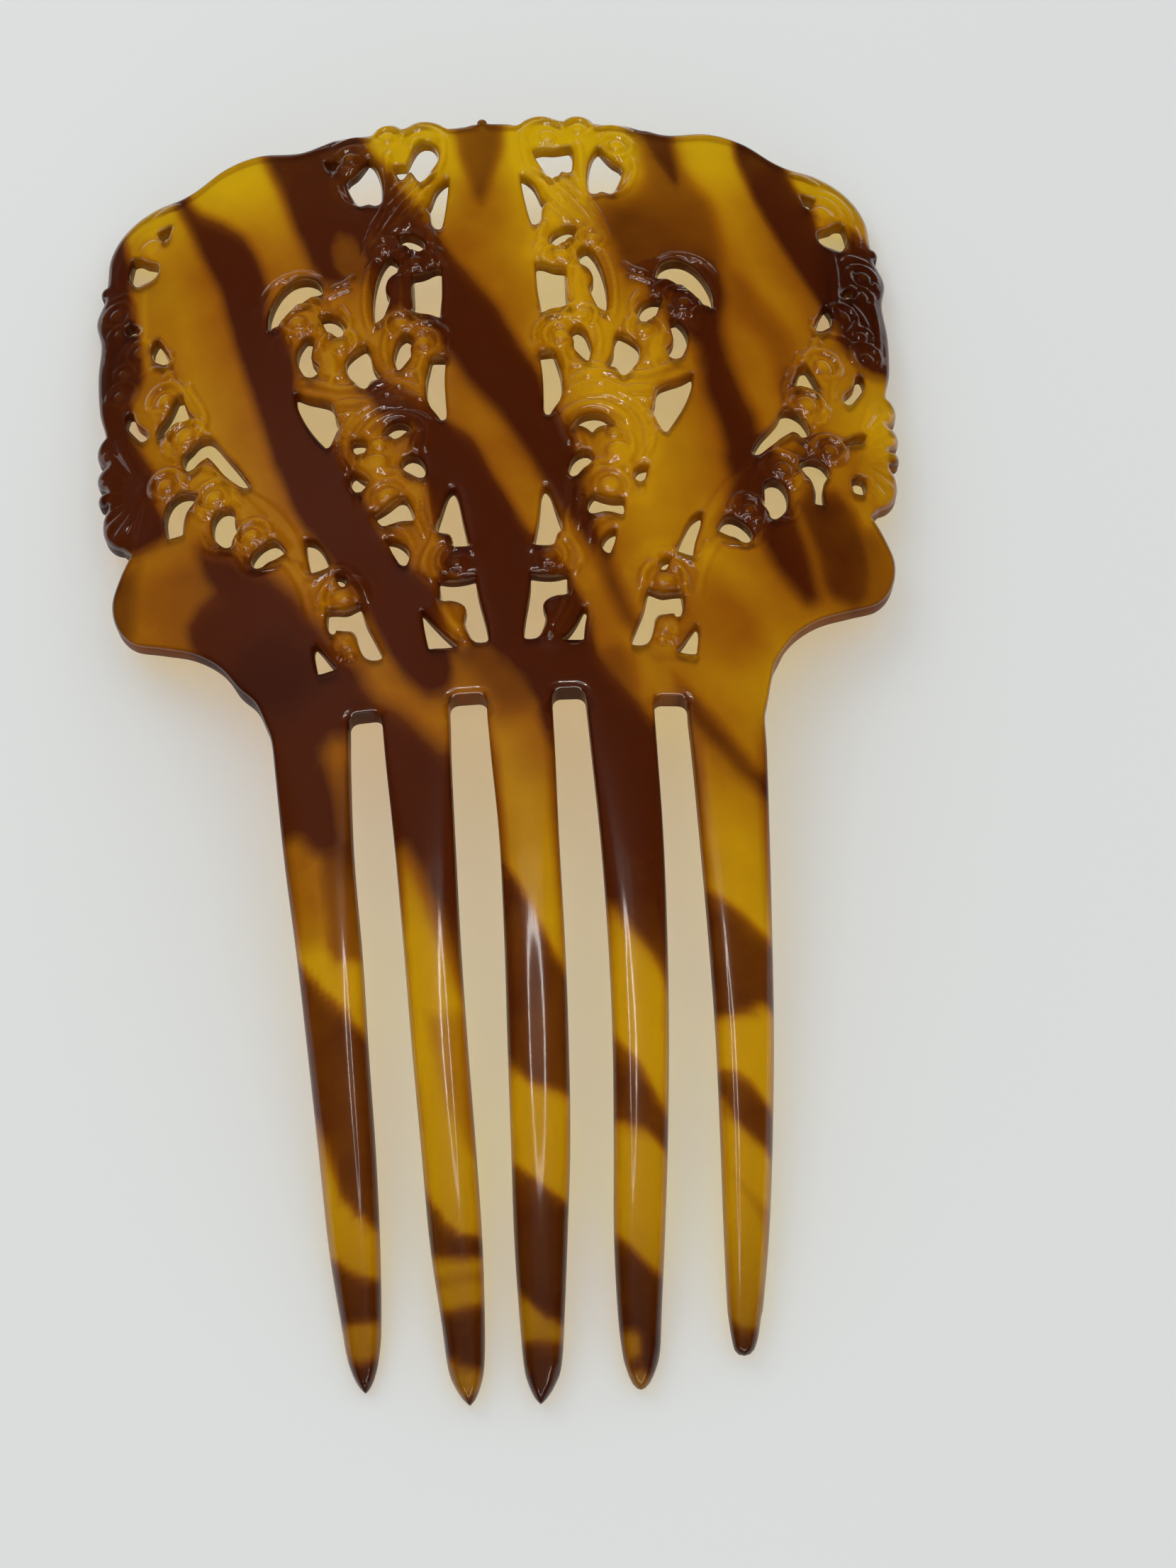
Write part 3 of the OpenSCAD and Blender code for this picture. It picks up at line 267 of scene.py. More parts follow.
# Dark streaks of the colour on the whole comb: darkness, softness of the edge, then corners x,y
STREAKS = [
    # heading, from the left
    [1, 0.9, -54,75, -49.5,74.5, -48.8,70, -48.3,65, -47.4,61, -46.9,57, -45.8,53, -45.5,48.5, -46.8,45,
     -47.6,42, -46.7,39, -45,36, -43.4,33, -43.6,30, -42.8,27.5, -41.5,25, -41.8,23, -45.5,21.6, -54,24],
    [1, 1, -43.2,80.8, -42,77, -41.2,75, -40,72, -38.3,67.5, -36.7,63.5, -35.2,60, -34.2,55, -33,50,
     -31.6,45, -30.3,40, -28.8,35, -27.6,30, -25.8,25, -24,20.5, -22.2,18, -20.6,15.5, -18.8,12.5,
     -17.2,10, -16,7, -14.8,4, -13.6,1.5, -12,-1, -9.4,-3.8, -7,-3.4, -6.3,-1, -6.6,1.5, -7.2,4, -7.7,7,
     -8,10.5, -10.5,12.5, -13,15, -14.6,18, -15.6,21, -17,24, -18,28, -19,31, -21.3,32, -25,40.5,
     -25.1,44, -25.6,48, -27,51, -28.8,53, -28.9,58.5, -29.4,61, -30.6,65, -32.2,68.5, -35.2,72,
     -38.4,74.8, -40,77, -41,80.8],
    [1, 1.1, -30.8,85, -29.2,80, -27.4,75, -26,70, -24.3,65, -22.8,60.5, -21.2,57.8, -18.2,56.3, -18,57.5,
     -19.6,60, -20.2,63, -19.4,65.5, -17.8,64.5, -16.4,61.5, -15.4,59, -14.8,55, -13,51.8, -10.8,51,
     -8.8,49.8, -7.2,47.8, -5.9,44.6, -4.6,42.3, -2.9,39.2, -1.4,36.8, 0.3,34.6, 1.5,32.4, 2.9,30,
     4.1,27.6, 5,25.2, 6.2,22.8, 7,21, 8.2,19, 9.5,17, 10.4,15, 11,13.5, 11.7,14.5, 11.5,17, 11.1,19.3,
     10.4,21, 10.6,23.5, 10.9,25.4, 9,26.5, 9.6,29, 9.3,31.2, 8.4,33, 7.4,34.6, 6.2,36.5, 5.8,39, 5,41.5,
     4,43.5, 3.2,45.2, 2.2,47.5, 1.2,50, 0.2,52, -1.3,54.5, -2.8,57, -4.7,60, -5.8,62.4, -6.8,64.3,
     -8,66.5, -8.8,69, -10,70.2, -11.3,72.2, -12.2,75, -13.9,78, -15.2,80.5, -16.8,85],
    [0.72, 1.2, -4.4,85.5, 2.9,85.5, 2.6,79, 1.6,75, 0.6,71, -0.6,68, -1.6,70, -2.4,74, -3.3,78],
    [0.58, 1.6, 19,84.6, 20.5,82, 21,78, 21.2,74, 19.5,71, 17,69.6, 14.5,68.5, 15,64, 16,60.6, 17,57,
     20,55, 30.5,55, 30.6,61, 30.6,66, 30,70, 28,73, 26.6,76, 26.3,80, 26,84],
    [0.95, 1, 20.6,85, 21.3,81, 22.4,77.5, 23.8,74.5, 25,72, 26,71.4, 26.3,74.5, 26,78, 25.8,81, 25.8,85],
    [0.66, 1.6, 16,69, 19.5,68.6, 23,66.4, 26,64.6, 29.6,63, 29.6,56, 20,55, 17,57, 15.4,64],
    [0.9, 0.7, 18.6,84.8, 19.4,83, 20.4,81.6, 22,80.6, 26,81, 25.6,85],
    [0.5, 1.5, -21.5,66, -18,67, -15,62, -14.5,57, -18,56.5, -20.5,60],
    [0.22, 2.4, -4.5,73, 3,74, 3,67, 0.6,61, -4.6,60],
    [0.9, 1.3, 17.6,57.4, 18,55.4, 19.6,55.4, 20.6,52.8, 22.2,51.4, 22.2,49.2, 23.6,48.4, 26,45,
     25.6,42.5, 26,40.6, 26.2,38, 27.2,35.4, 27.9,32.5, 28.3,29.5, 27.8,27.5, 28.6,25, 28,22.8, 28.2,20.8,
     27.6,19.3, 29.6,18.8, 31,17.6, 32,15, 33.4,12, 34.8,9.8, 36.4,7.8, 38,8.4, 38.1,11, 37.7,14.5,
     36.8,18, 36,21, 35.6,24.5, 36.6,27.2, 35,28.6, 33.6,29.6, 33.2,31.5, 32.5,34.5, 31.7,37, 30.7,40,
     30,43, 29.6,46, 29.5,50, 30.6,53, 30.2,57, 29.8,59.6, 24.6,60, 20,59],
    [0.35, 2, 31,58, 33,57, 35.6,53.5, 37.6,50, 39.2,46.5, 39.4,42, 38.5,41, 39.5,38, 37,36.4, 35.4,39,
     35.4,43, 34.2,47, 32,51],
    [0.5, 1.4, 36,44, 38.6,43, 38.8,40, 39.4,37.4, 36.6,36.4, 35.8,39],
    [0.6, 1, 35.5,29.5, 38,31.5, 41,33.5, 43.8,32.5, 43.5,29, 41,28, 39.5,27.5, 37,28.5],
    [1, 0.8, 34,85, 34,79, 34.8,75.5, 36.2,70.5, 38.1,65.5, 40.3,60.5, 42.3,56.5, 43.4,53.8, 45,51.5,
     45.3,49.6, 44.3,48.6, 46.3,47, 47.2,45, 49.2,44.2, 51.2,44, 54,43.6, 54,66.3, 51.5,67.2, 49,69.5,
     48.3,65, 46.5,64.8, 44.3,66.5, 44.4,70, 43,72.5, 42,75.5, 41.2,78, 40,80.5, 38,84],
    # lower middle of the heading, down into the fourth tooth
    [1, 0.8, -15.9,39, -14.4,41, -12.4,39.6, -10.4,38, -8.7,36.5, -7.6,34.6, -5.6,33, -4,31.8, -2.8,30.6,
     -1.9,28.5, -1,26, 0,24, 1,22, 2,19.8, 3,17.6, 4.2,15.2, 7,12.4, 8.4,9.4, 9.4,7, 10,5, 10.2,2.8,
     10.8,0, 12.1,-2, 13.6,-4, 15.2,-6, 16.3,-8, 17.8,-10.4, 17.8,-42.5, 16.2,-40.2, 15,-37, 13.5,-34.6,
     12,-32.5, 9.8,-29.4, 8.2,-27.4, 8.2,-8, 5.2,-7.6, 4.6,-11, 3.8,-9, 3.2,-6, 2.6,-4, 1.5,-2, 0,-0.2,
     -1.4,1, -2.6,2.4, -3,6, -3.6,11, -7.2,11.4, -7.5,13.6, -6.6,15.6, -8,18.5, -8.4,22, -8.8,25.2,
     -10,28.6, -10.8,31.2, -9.6,32.5, -10,33.8, -12,34.4, -14,34.7, -15,36.6],
    [0.62, 1, 11,14.5, 12.8,14.5, 14,10, 15.2,6, 16,4, 15,3.4, 14,4.4, 12.6,7.5, 11.6,11],
    # left wing, down into the first two teeth
    [1, 1.7, -37.5,20.5, -36,19.8, -33.5,18.6, -30.5,16.6, -27.6,14.2, -25.6,11.6, -23.8,9, -22,6.4,
     -20.6,4, -19.4,2, -18,0.6, -16.8,-1.8, -15.2,-4, -13,-5.3, -11.4,-7, -9.8,-9, -6.6,-12.8, -6,-41,
     -7.1,-38.8, -8.3,-35, -9.4,-31.8, -10.3,-28.3, -11.5,-25, -12.8,-22.2, -15.4,-19.6, -16,-8, -19,-8,
     -20.8,-7.8, -22,-9.5, -21,-12.5, -20,-16.5, -19.6,-21.5, -21.6,-22.6, -23.4,-22, -24.8,-19.9,
     -29,-18.2, -31.5,-5, -34.4,1, -38,6, -39,9.5, -37.4,12, -35.4,13.6, -36.9,16.6],
    [0.72, 2, -45.4,20, -49,19, -51,12.6, -48,8.6, -45.2,9.6, -44.8,14],
    [0.3, 1.8, -46,11, -40,10.6, -37,7, -38,4, -46,6],
    [0.3, 2.4, -35.2,17.6, -40,18.6, -45,18.4, -46,12, -45,9.6, -40,8, -37,6, -34,9],
    [0.55, 1.6, -3,4, 3,4, 4,-1, 3.4,-6, -1,-7, -3,-3, -7,2],
    [0.45, 1.4, 9.4,0.6, 13,1.6, 15,-1.4, 14.6,-5, 11,-4.6],
    [0.4, 1.2, -28,-22, -24.6,-21, -22,-24, -21.8,-32, -24,-33, -26,-31],
    [0.7, 0.8, -19,-20.5, -18,-34.4, -20.8,-35, -21.8,-33, -21.9,-29, -22.5,-25, -22.2,-21.5],
    # right wing
    [0.75, 1.1, 36.5,22, 38.4,25, 42,24.5, 44.3,21.5, 45.3,17, 45.6,13, 44.8,9.5, 42.5,8, 39.8,9, 38.6,11,
     38.4,15, 37.4,19],
    [0.5, 1.4, 44,20, 47,19.5, 49.5,15, 48.5,10.6, 46,8, 43.6,8.6],
    [0.24, 2.5, 18,12, 26,11.4, 30.4,7, 31,1, 27,-1, 22,1, 18,6],
    [0.22, 2, 43,31.6, 50.4,32.6, 50.4,26.6, 47,22.6, 44,24.4],
    # first tooth
    [1, 0.6, -27,-32.6, -25.6,-33.6, -24,-35.7, -22.5,-37.7, -20.5,-39.7, -18,-43.2, -16.4,-45,
     -16.4,-64.5, -17.6,-63.9, -19.5,-62.3, -21,-60.4, -21.7,-58, -22.5,-55, -23.5,-52, -25.6,-49],
    [1, 0.5, -24.4,-65.8, -23,-66.6, -21.5,-67.3, -20,-68.7, -16.2,-69.8, -16.2,-73.8, -23,-74],
    [1, 0.6, -22.4,-76.6, -19.5,-78, -16.6,-77.3, -16.6,-84, -22.4,-84],
    # second tooth
    [0.4, 0.9, -11.4,-41, -10,-41.5, -7,-41, -5.4,-42, -5.2,-58.5, -7.2,-56.6, -8.6,-52.5, -10,-48],
    [1, 0.5, -13.4,-59, -12,-60.3, -10.8,-62.2, -9.5,-64.3, -8,-65.6, -4.8,-65.9, -4.8,-67.8, -8,-68,
     -9.6,-67.8, -12.8,-67.2],
    [0.35, 0.5, -12,-69.5, -5,-69.2, -5,-70.3, -9.5,-70.9, -12,-70.9],
    [1, 0.5, -12.4,-73.4, -9,-73.2, -4.8,-72.7, -4.8,-79.7, -6.6,-79.6, -9,-78.8, -10.4,-77.6, -12.4,-76.8],
    [0.8, 0.5, -9.2,-82, -8.2,-82.2, -6.8,-81.6, -7.2,-84.5, -8.8,-84.5],
    # third tooth
    [1, 0.6, -3.2,-23.2, -1.9,-24.6, -0.3,-26.6, 1,-29.6, 2.5,-33, 3.8,-36, 6,-40, 6,-51.8, 4.4,-51.3,
     1.5,-50.4, 0,-49.7, -1,-48.3, -3.2,-46.2],
    [1, 0.5, -3.4,-57.4, -2.2,-58.2, 0,-60, 1.5,-61.3, 4.6,-63.5, 4.6,-76.2, 2.4,-75.4, 0.5,-74.5, -1,-73,
     -3.4,-70.4],
    [1, 0.5, -3.4,-76.9, 0,-77.1, 3.4,-77.4, 3.4,-85, -3.4,-85],
    # fourth tooth
    [1, 0.6, 8,-43, 10.5,-46, 12.5,-48.5, 14,-52, 16,-55.6, 16,-59.6, 13.8,-56.8, 12.5,-55.5, 10.5,-54.8,
     8,-53.8],
    [1, 0.6, 7.4,-65.6, 9.5,-67.2, 11,-68.8, 12.5,-70.3, 14.4,-71.8, 13.6,-82, 11.4,-81.6, 10.6,-80.4,
     9.6,-80.6, 9.2,-79.6, 10.4,-78.8, 10.6,-76.8, 9.4,-76.2, 8.6,-76.8, 9,-79.5, 7.4,-80],
    # fifth tooth
    [0.75, 0.9, 19.4,-2.6, 22,-5.5, 25,-9.3, 27.5,-13, 30.6,-15.8, 30.6,-18.6, 28.8,-17.2, 26.5,-15,
     24.5,-12.5, 22.5,-10, 20.2,-6.8],
    [1, 0.7, 19.8,-27.6, 23,-30, 25,-31.6, 26.5,-33.2, 29.6,-36.2, 29.6,-43.8, 28.2,-43, 26.5,-42,
     25,-42.8, 23,-43.3, 19.8,-43.2],
    [1, 0.5, 19.8,-49, 23,-49.5, 24.5,-50.7, 26,-53, 28,-56.4, 27.6,-61.4, 25.5,-58, 24,-56.5, 22.5,-55,
     21.5,-52.5, 19.8,-50.4],
    [0.3, 0.5, 21.6,-60.6, 23.6,-62.4, 27,-66.4, 25,-73, 24.6,-69, 24.4,-66, 22.6,-62.8],
    [0.9, 0.7, 18.8,-74.6, 21.5,-77, 24.6,-77, 23,-82, 19,-82],
]

# Spacing of the points along the outline and the gaps
STEP = 0.5
GAP_STEP = 0.45
# A gap's corners blunter than this angle are long curves
BLUNT = 112
# Points of a gap, and of a rim, that are closer than this become one
CLOSEST = 0.06
RIM_CLOSEST = 0.12
# End of a tooth: share of the width that is left, height over the tip; then that height, share of TOOTH_T
TIP_CURVE = [[0.8, 4], [0.5, 1.9], [0.15, 0.6]]
TIP_THIN = [[0, 0.35], [2.2, 0.5], [7, 0.7]]
# Places under the bar's middle between which the bar's thickness changes to the teeth's
BAR_TO_TEETH = [4.5, 7.5]
# Share of the second power in a tooth's fall towards its sides, the rest is the fourth power
TOOTH_ROUND = 0.12
# Ridges of the relief: spacing of their points, half width as a share of the width in the table
RIDGE_STEP = 0.2
SCROLL_HALF = 0.66
VEIN_HALF = 0.62
# Distance of the shell's ribs from the point that they fan out from
RIB_START = 1.4
# The ornament reaches this far beyond its ridges, and it fades out over this width
ORNAMENT_REACH = 1.9
ORNAMENT_FADE = 1.5
# Round centres: width as a multiple of their radius, height
BOSS_WIDER = 1.2
BOSS_HIGH = 0.85
# Round edges: width, drop of the raised face, the same at the slots, rise of the back face
EDGE_WIDE = 0.42
EDGE_DROP = 0.34
SLOT_EDGE_DROP = 0.04
BACK_RISE = 0.22
# Strands of the ornament: width of their round edge, its drop, height over the plate
STRAND_WIDE = 1.15
STRAND_DROP = 0.42
STRAND_UP = 0.1
# Rounded shoulder over the closed end of a slot: width, drop, reach of the closer points
SHOULDER_WIDE = 0.9
SHOULDER_DROP = 0.32
SHOULDER_REACH = 1.5
# How much thinner the moulding is round the gaps
GAP_THINNER = 0.1
# Points of a face: spacing in the ornament, on the plate and along the teeth, places across the teeth,
# rows at these distances inside the rims, and more of them at the slots
FRONT_MESH = [0.36, 0.72, 0.7, [0.1, 0.19, 0.28, 0.37, 0.46, 0.54, 0.63, 0.72, 0.81, 0.9], [0.15, 0.42, 0.8],
              [0.28, 0.55, 0.68, 0.95, 1.15]]
BACK_MESH = [1.1, 1.1, 1.4, [0.2, 0.4, 0.6, 0.8], [0.4], []]
# Below this y the points stand in rows along the teeth
TEETH_FROM = -9.6
# Edges with a larger angle between their faces aren't smoothed
SHARP = math.radians(52)

# Darkness of the halo round a streak, its width, and how much painted shade darkens the middle
HALO = 0.3
HALO_WIDE = 9
MIDDLE_SHADE = 0.235
# How much painted shade dims the teeth towards their tips: place under the bar, share in amber, share in
# brown
TIP_SHADE = [[10, 0.05, 0], [25, 0.17, 0], [35, 0.26, 0], [45, 0.26, 0], [55, 0.36, 0], [65, 0.45, 0.38],
          [77, 0.79, 0.71], [84, 0.85, 0.75]]
# Places in the brown that are darker than the rest: x, y, half width, half height, share
DARKER = [[48.5, 57, 6, 10, 0.5], [-51.5, 53, 5, 8, 0.35], [-28, 1, 6, 6, 0.4]]
# How much painted shade darkens the ends of the slots
SLOT_END_SHADE = [0.95, 0.3, 0.95, 0.3]
# Colours of the plastic: darkness, colour. Then the tints of the painted shade at its rims and on its cut
# edges
SHADES = [[0.08, (0.84, 0.52, 0.0003, 1)], [0.5, (0.44, 0.165, 0.0003, 1)], [0.92, (0.105, 0.02, 0.0015, 1)]]
RIM_SHADE_TINT = (0.3, 0.2, 0.12, 1)
CUT_SHADE_TINT = (0.28, 0.18, 0.07, 1)
# Colours of the light that falls through the amber and through the brown
UNDER_AMBER = (1, 0.755, 0.14, 1)
UNDER_BROWN = (0.9, 0.6, 0.34, 1)
# Small clouds in the colour: how fine they are, how much they change the darkness
CLOUD_SCALE = 160
CLOUD_SWING = 0.3

# Distance between the nodes in the editor
NODE_STEP = 200

# Floor and world, in metres: the light of the world as it falls on things and as the gloss mirrors it
FLOOR_Z = -0.0001
FLOOR_HALF = 3
FLOOR_COLOUR = (0.8, 0.81, 0.81, 1)
WORLD_COLOUR = (0.985, 1, 0.99, 1)
WORLD_LIGHT = 0.83
WORLD_MIRRORED = 0.004

# Camera: its turn, the plan's middle seen from it, focal length and height of the photo in pixels
CAM_TILT = math.radians(21.97)
CAM_SIDE = math.radians(1.09)
CAM_ROLL = math.radians(3.16)
CAM_X = -9.454
CAM_Y = 14.781
CAM_FAR = 247.994
FOCAL_PX = 3000
FRAME_H = 2212
SENSOR = 36

# Distance of the lamps from the comb in metres
LAMP_FAR = 0.7
# Colour of the lamps that only the gloss mirrors
GLOSS_COLOUR = (1, 0.96, 0.9)
# Ring of small lamps overhead: number, half width and height, lean towards +Y, a lamp's size, brightness,
# and the share of it below the middle
RING_LAMPS = 24
RING_WIDE = 8.5
RING_TALL = 8
RING_LEAN = -4.5
RING_SIZE = 1.8
RING_BRIGHT = 26
RING_LOW = 0.4
# Other lamps: lean towards +X and +Y, width and height in degrees, brightness
KEY = [-30, 30, 30, 30, 1.2]
MIRRORED_LAMPS = {
    "glow": [0, 1, 26, 14, 0.5], "window_far": [0, 74, 40, 6, 1],
    "window_near": [0, -56, 40, 20, 1.2], "strip": [0, -36, 76, 4, 10],
}


def level(x, y, depth=0.0):
    """Height over the bar's middle of the surface that lies depth under the raised face"""
    arch_drop = ARCH_R - np.sqrt((ARCH_R - depth) ** 2 - x * x)
    return np.sqrt((BOW_R - arch_drop) ** 2 - y * y) - BOW_R


def eased(value, low, high):
    """Soft change from 0 at low to 1 at high"""
    t = np.clip((value - low) / (high - low), 0, 1)
    return t * t * (3 - 2 * t)


def rounded(d, wide):
    """Fall of a round edge, from 1 at the edge to 0 at that width"""
    return 1 - np.sqrt(1 - (1 - np.clip(d / wide, 0, 1)) ** 2)


def pairs(numbers):
    """Points x, y out of a row of numbers"""
    return np.array(numbers, float).reshape(-1, 2)


def spline(points, step):
    """Smooth open curve through points, with a point about every step"""
    p = np.array(points, float)
    p = np.vstack([p[0], p, p[-1]])
    out = []
    for a, b, c, d in zip(p, p[1:], p[2:], p[3:]):
        n = max(1, round(np.linalg.norm(c - b) / step))
        for t in np.arange(n) / n:
            out.append(b + 0.5 * t * (c - a + t * (2 * a - 5 * b + 4 * c - d + t * (3 * (b - c) + d - a))))
    out.append(p[-1])
    return np.array(out)


def softened(p, step):
    """Closed outline whose blunt corners are long curves and whose sharp ones are short curves"""
    out = []
    for a, b, c in zip(np.roll(p, 1, 0), p, np.roll(p, -1, 0)):
        to_a, to_c = a - b, c - b
        far_a, far_c = np.linalg.norm(to_a), np.linalg.norm(to_c)
        blunt = np.degrees(np.arccos(np.clip(to_a @ to_c / far_a / far_c, -1, 1))) > BLUNT
        start = b + to_a * (0.5 if blunt else min(0.3, 0.25 / far_a))
        end = b + to_c * (0.5 if blunt else min(0.3, 0.25 / far_c))
        k = max(2, round(np.linalg.norm(end - start) / step))
        for t in np.arange(k + 1) / k:
            out.append((1 - t) ** 2 * start + 2 * t * (1 - t) * b + t * t * end)
    q = [out[0]]
    for point in out[1:]:
        gap = np.linalg.norm(point - q[-1])
        if gap < CLOSEST:
            continue
        for t in range(1, round(gap / step)):
            q.append(q[-1] + (point - q[-1]) / (round(gap / step) - t + 1))
        q.append(point)
    if np.linalg.norm(q[0] - q[-1]) < CLOSEST:
        q.pop()
    return np.array(q)


def mirrored(points):
    """The same line on the other half, still clockwise or counter-clockwise"""
    return np.array(points)[::-1] * [-1, 1]


def tooth_side(k, side):
    """Left (-1) or right (1) side of a tooth, from the slot down to the tip"""
    middle, width, tip_x, tip_y, tip_w = TEETH[k]
    out = [[m + side * w / 2, s[0]] for m, w, s in zip(middle, width, STATIONS)]
    if (k, side) in ((0, -1), (4, 1)):
        out = BAR_SIDES[(side + 1) // 2] + out
    m, w = middle[-1], width[-1]
    for share, up in TIP_CURVE:
        x = m + (tip_x - m) * (1 - share) ** 0.7
        out.append([x + side * (tip_w / 2 + (w - tip_w) / 2 * share), tip_y + up])
    if tip_w > 1:
        out.append([tip_x + side * tip_w * 0.35, tip_y + 0.15])
    out.append([tip_x, tip_y])
    return out


TOOTH_SIDES = [(tooth_side(k, -1), tooth_side(k, 1)) for k in range(len(TEETH))]


def sides_at(k, y):
    """x of a tooth's left and right side at y"""
    return [np.interp(-y, *(np.array(side) * [1, -1]).T[::-1]) for side in TOOTH_SIDES[k]]


def slot_end(slot):
    """Closed end of a slot, from its right side over the top to its left side"""
    left, right, top = slot
    a = np.radians(np.linspace(0, 90, 5))
    corner = SLOT_ROUND * np.stack([np.cos(a), np.sin(a)], 1)
    straight = [[x, top] for x in np.linspace(right - SLOT_ROUND, left + SLOT_ROUND, 7)[1:-1]]
    return np.vstack([corner + [right - SLOT_ROUND, top - SLOT_ROUND], straight,
                      mirrored(corner) + [left + SLOT_ROUND, top - SLOT_ROUND]])


def by_slot_end(points, reach):
    """Which points lie within reach of a slot's closed end"""
    x, y = points.T
    return np.any([(x > left - reach) & (x < right + reach) & (np.abs(y - top) < reach)
                   for left, right, top in SLOTS], 0)


def outline_loop():
    """Whole outline, clockwise from the top of the middle, without the scallops"""
    side = spline(EDGE[:EDGE_CORNER + 1], STEP)
    parts = [side, spline(EDGE[EDGE_CORNER:] + TOOTH_SIDES[4][1], STEP)[1:]]
    for k in range(4, -1, -1):
        up = TOOTH_SIDES[k][0][::-1]
        if not k:
            up = up + [[-x, y] for x, y in EDGE[:EDGE_CORNER - 1:-1]]
        parts.append(spline(up, STEP)[1:])
        if k:
            parts.append(slot_end(SLOTS[k - 1]))
            parts.append(spline(TOOTH_SIDES[k - 1][1], STEP))
    parts.append(mirrored(side)[1:-1])
    return np.vstack(parts)


def circle(x, y, r):
    n = max(16, round(2 * math.pi * r / STEP))
    a = np.arange(n) * 2 * math.pi / n
    return np.stack([x + r * np.cos(a), y + r * np.sin(a)], 1)


def turned(loop):
    """The loop, counter-clockwise"""
    x, y = np.array(loop).T
    return loop if (x * np.roll(y, -1) - y * np.roll(x, -1)).sum() > 0 else loop[::-1]


def triangles(points, loops):
    """Triangles over points and closed loops, with the loops that each triangle lies in"""
    verts, faces = [tuple(p) for p in points], []
    for loop in loops:
        start = len(verts)
        verts += [tuple(p) for p in turned(loop)]
        faces.append(list(range(start, len(verts))))
    out = delaunay_2d_cdt([Vector(v) for v in verts], [], faces, 0, 1e-5, True)
    return np.array([tuple(v) for v in out[0]]), out[2], out[5]


def rim_of(tris):
    """Directed edges with solid on one side alone, with the solid at their left"""
    edges = {edge for t in tris for edge in zip(t, t[1:] + t[:1])}
    return [(a, b) for a, b in edges if (b, a) not in edges]


# Plan of the comb: solid where a solid loop covers it and no gap does
solid_loops = [outline_loop()]
for x, y, r in LOBES:
    solid_loops += [circle(x, y, r), circle(-x, y, r)]
gap_loops = []
for side, *numbers in GAPS:
    loop = softened(pairs(numbers), GAP_STEP)
    if side >= 0:
        gap_loops.append(loop)
    if side <= 0:
        gap_loops.append(mirrored(loop))
first_gap = len(solid_loops)
verts, tris, inside = triangles([], solid_loops + gap_loops)
rim = rim_of([list(t) for t, i in zip(tris, inside) if i and max(i) < first_gap])


def chained(edges):
    """Rims as closed loops"""
    ahead, out = dict(edges), []
    while ahead:
        at, loop = next(iter(ahead)), []
        while at in ahead:
            loop.append(at)
            at = ahead.pop(at)
        out.append(loop)
    return out


def cleaned(loop):
    """The loop without points that nearly coincide"""
    keep = [verts[loop[0]]]
    for i in loop[1:]:
        if np.linalg.norm(verts[i] - keep[-1]) > RIM_CLOSEST:
            keep.append(verts[i])
    if np.linalg.norm(keep[0] - keep[-1]) < RIM_CLOSEST:
        keep.pop()
    return np.array(keep)


rims = [cleaned(loop) for loop in chained(rim)]


def tree_of(points):
    """Tree that finds the nearest of the points"""
    tree = kdtree.KDTree(len(points))
    for i, p in enumerate(points):
        tree.insert((p[0], p[1], 0), i)
    tree.balance()
    return tree


def distance_tree(loops):
    """Tree of points close to each other along the loops"""
    dense = []
    for loop in loops:
        for a, b in zip(loop, np.roll(loop, -1, 0)):
            n = max(1, round(np.linalg.norm(b - a) / RIM_CLOSEST))
            dense += [a + t * (b - a) for t in np.arange(n) / n]
    return tree_of(dense)


outer_rim = max(range(len(rims)), key=lambda i: np.ptp(rims[i][:, 1]))
rim_tree = distance_tree(rims)
gap_tree = distance_tree(rims[:outer_rim] + rims[outer_rim + 1:])


def to_rim(points, tree=rim_tree):
    """Distance of each point from the nearest rim, or from the points of another tree"""
    return np.array([tree.find((p[0], p[1], 0))[2] for p in points])


def inset(distance):
    """Points that far inside the rims"""
    out = []
    for loop in rims:
        ahead, behind = np.roll(loop, -1, 0) - loop, loop - np.roll(loop, 1, 0)
        ahead /= np.linalg.norm(ahead, axis=1)[:, None]
        behind /= np.linalg.norm(behind, axis=1)[:, None]
        along = ahead + behind
        along /= np.maximum(np.linalg.norm(along, axis=1)[:, None], 1e-6)
        out.append(loop + distance * np.stack([-along[:, 1], along[:, 0]], 1))
    out = np.vstack(out)
    return out[to_rim(out) > 0.82 * distance]


# Ridges of the relief as close points with a half width and a height
ridges = []
for cx, cy, r0, r1, a0, a1, w0, w1, high in SCROLLS:
    n = max(6, round(abs(a1 - a0) / 180 * math.pi * max(r0, r1) / RIDGE_STEP))
    t = np.linspace(0, 1, n)
    r, a, w = r0 + t * (r1 - r0), np.radians(a0 + t * (a1 - a0)), w0 + t * (w1 - w0)
    fade = np.minimum(1, np.minimum(t, 1 - t) * 7 + 0.35)
    ridges.append((np.stack([cx + r * np.cos(a), cy + r * np.sin(a)], 1), w * SCROLL_HALF, high * fade))
for width, high, *numbers in VEINS:
    line = spline(pairs(numbers), RIDGE_STEP)
    t = np.linspace(0, 1, len(line))
    taper = np.minimum(1, np.minimum(t, 1 - t) * 5 + 0.3)
    ridges.append((line, width * VEIN_HALF * (0.5 + 0.5 * taper), high * taper))
for angle, length in SHELL_RIBS:
    a = math.radians(angle)
    t = np.linspace(0, 1, 30)
    r = RIB_START + t * (length - RIB_START)
    ridges.append((np.stack([SHELL[0] + r * math.cos(a), SHELL[1] + r * math.sin(a)], 1), 0.35 + 0.6 * t,
                   0.15 + 0.3 * np.minimum(1, t * 3) * np.minimum(1, (1 - t) * 5 + 0.4)))


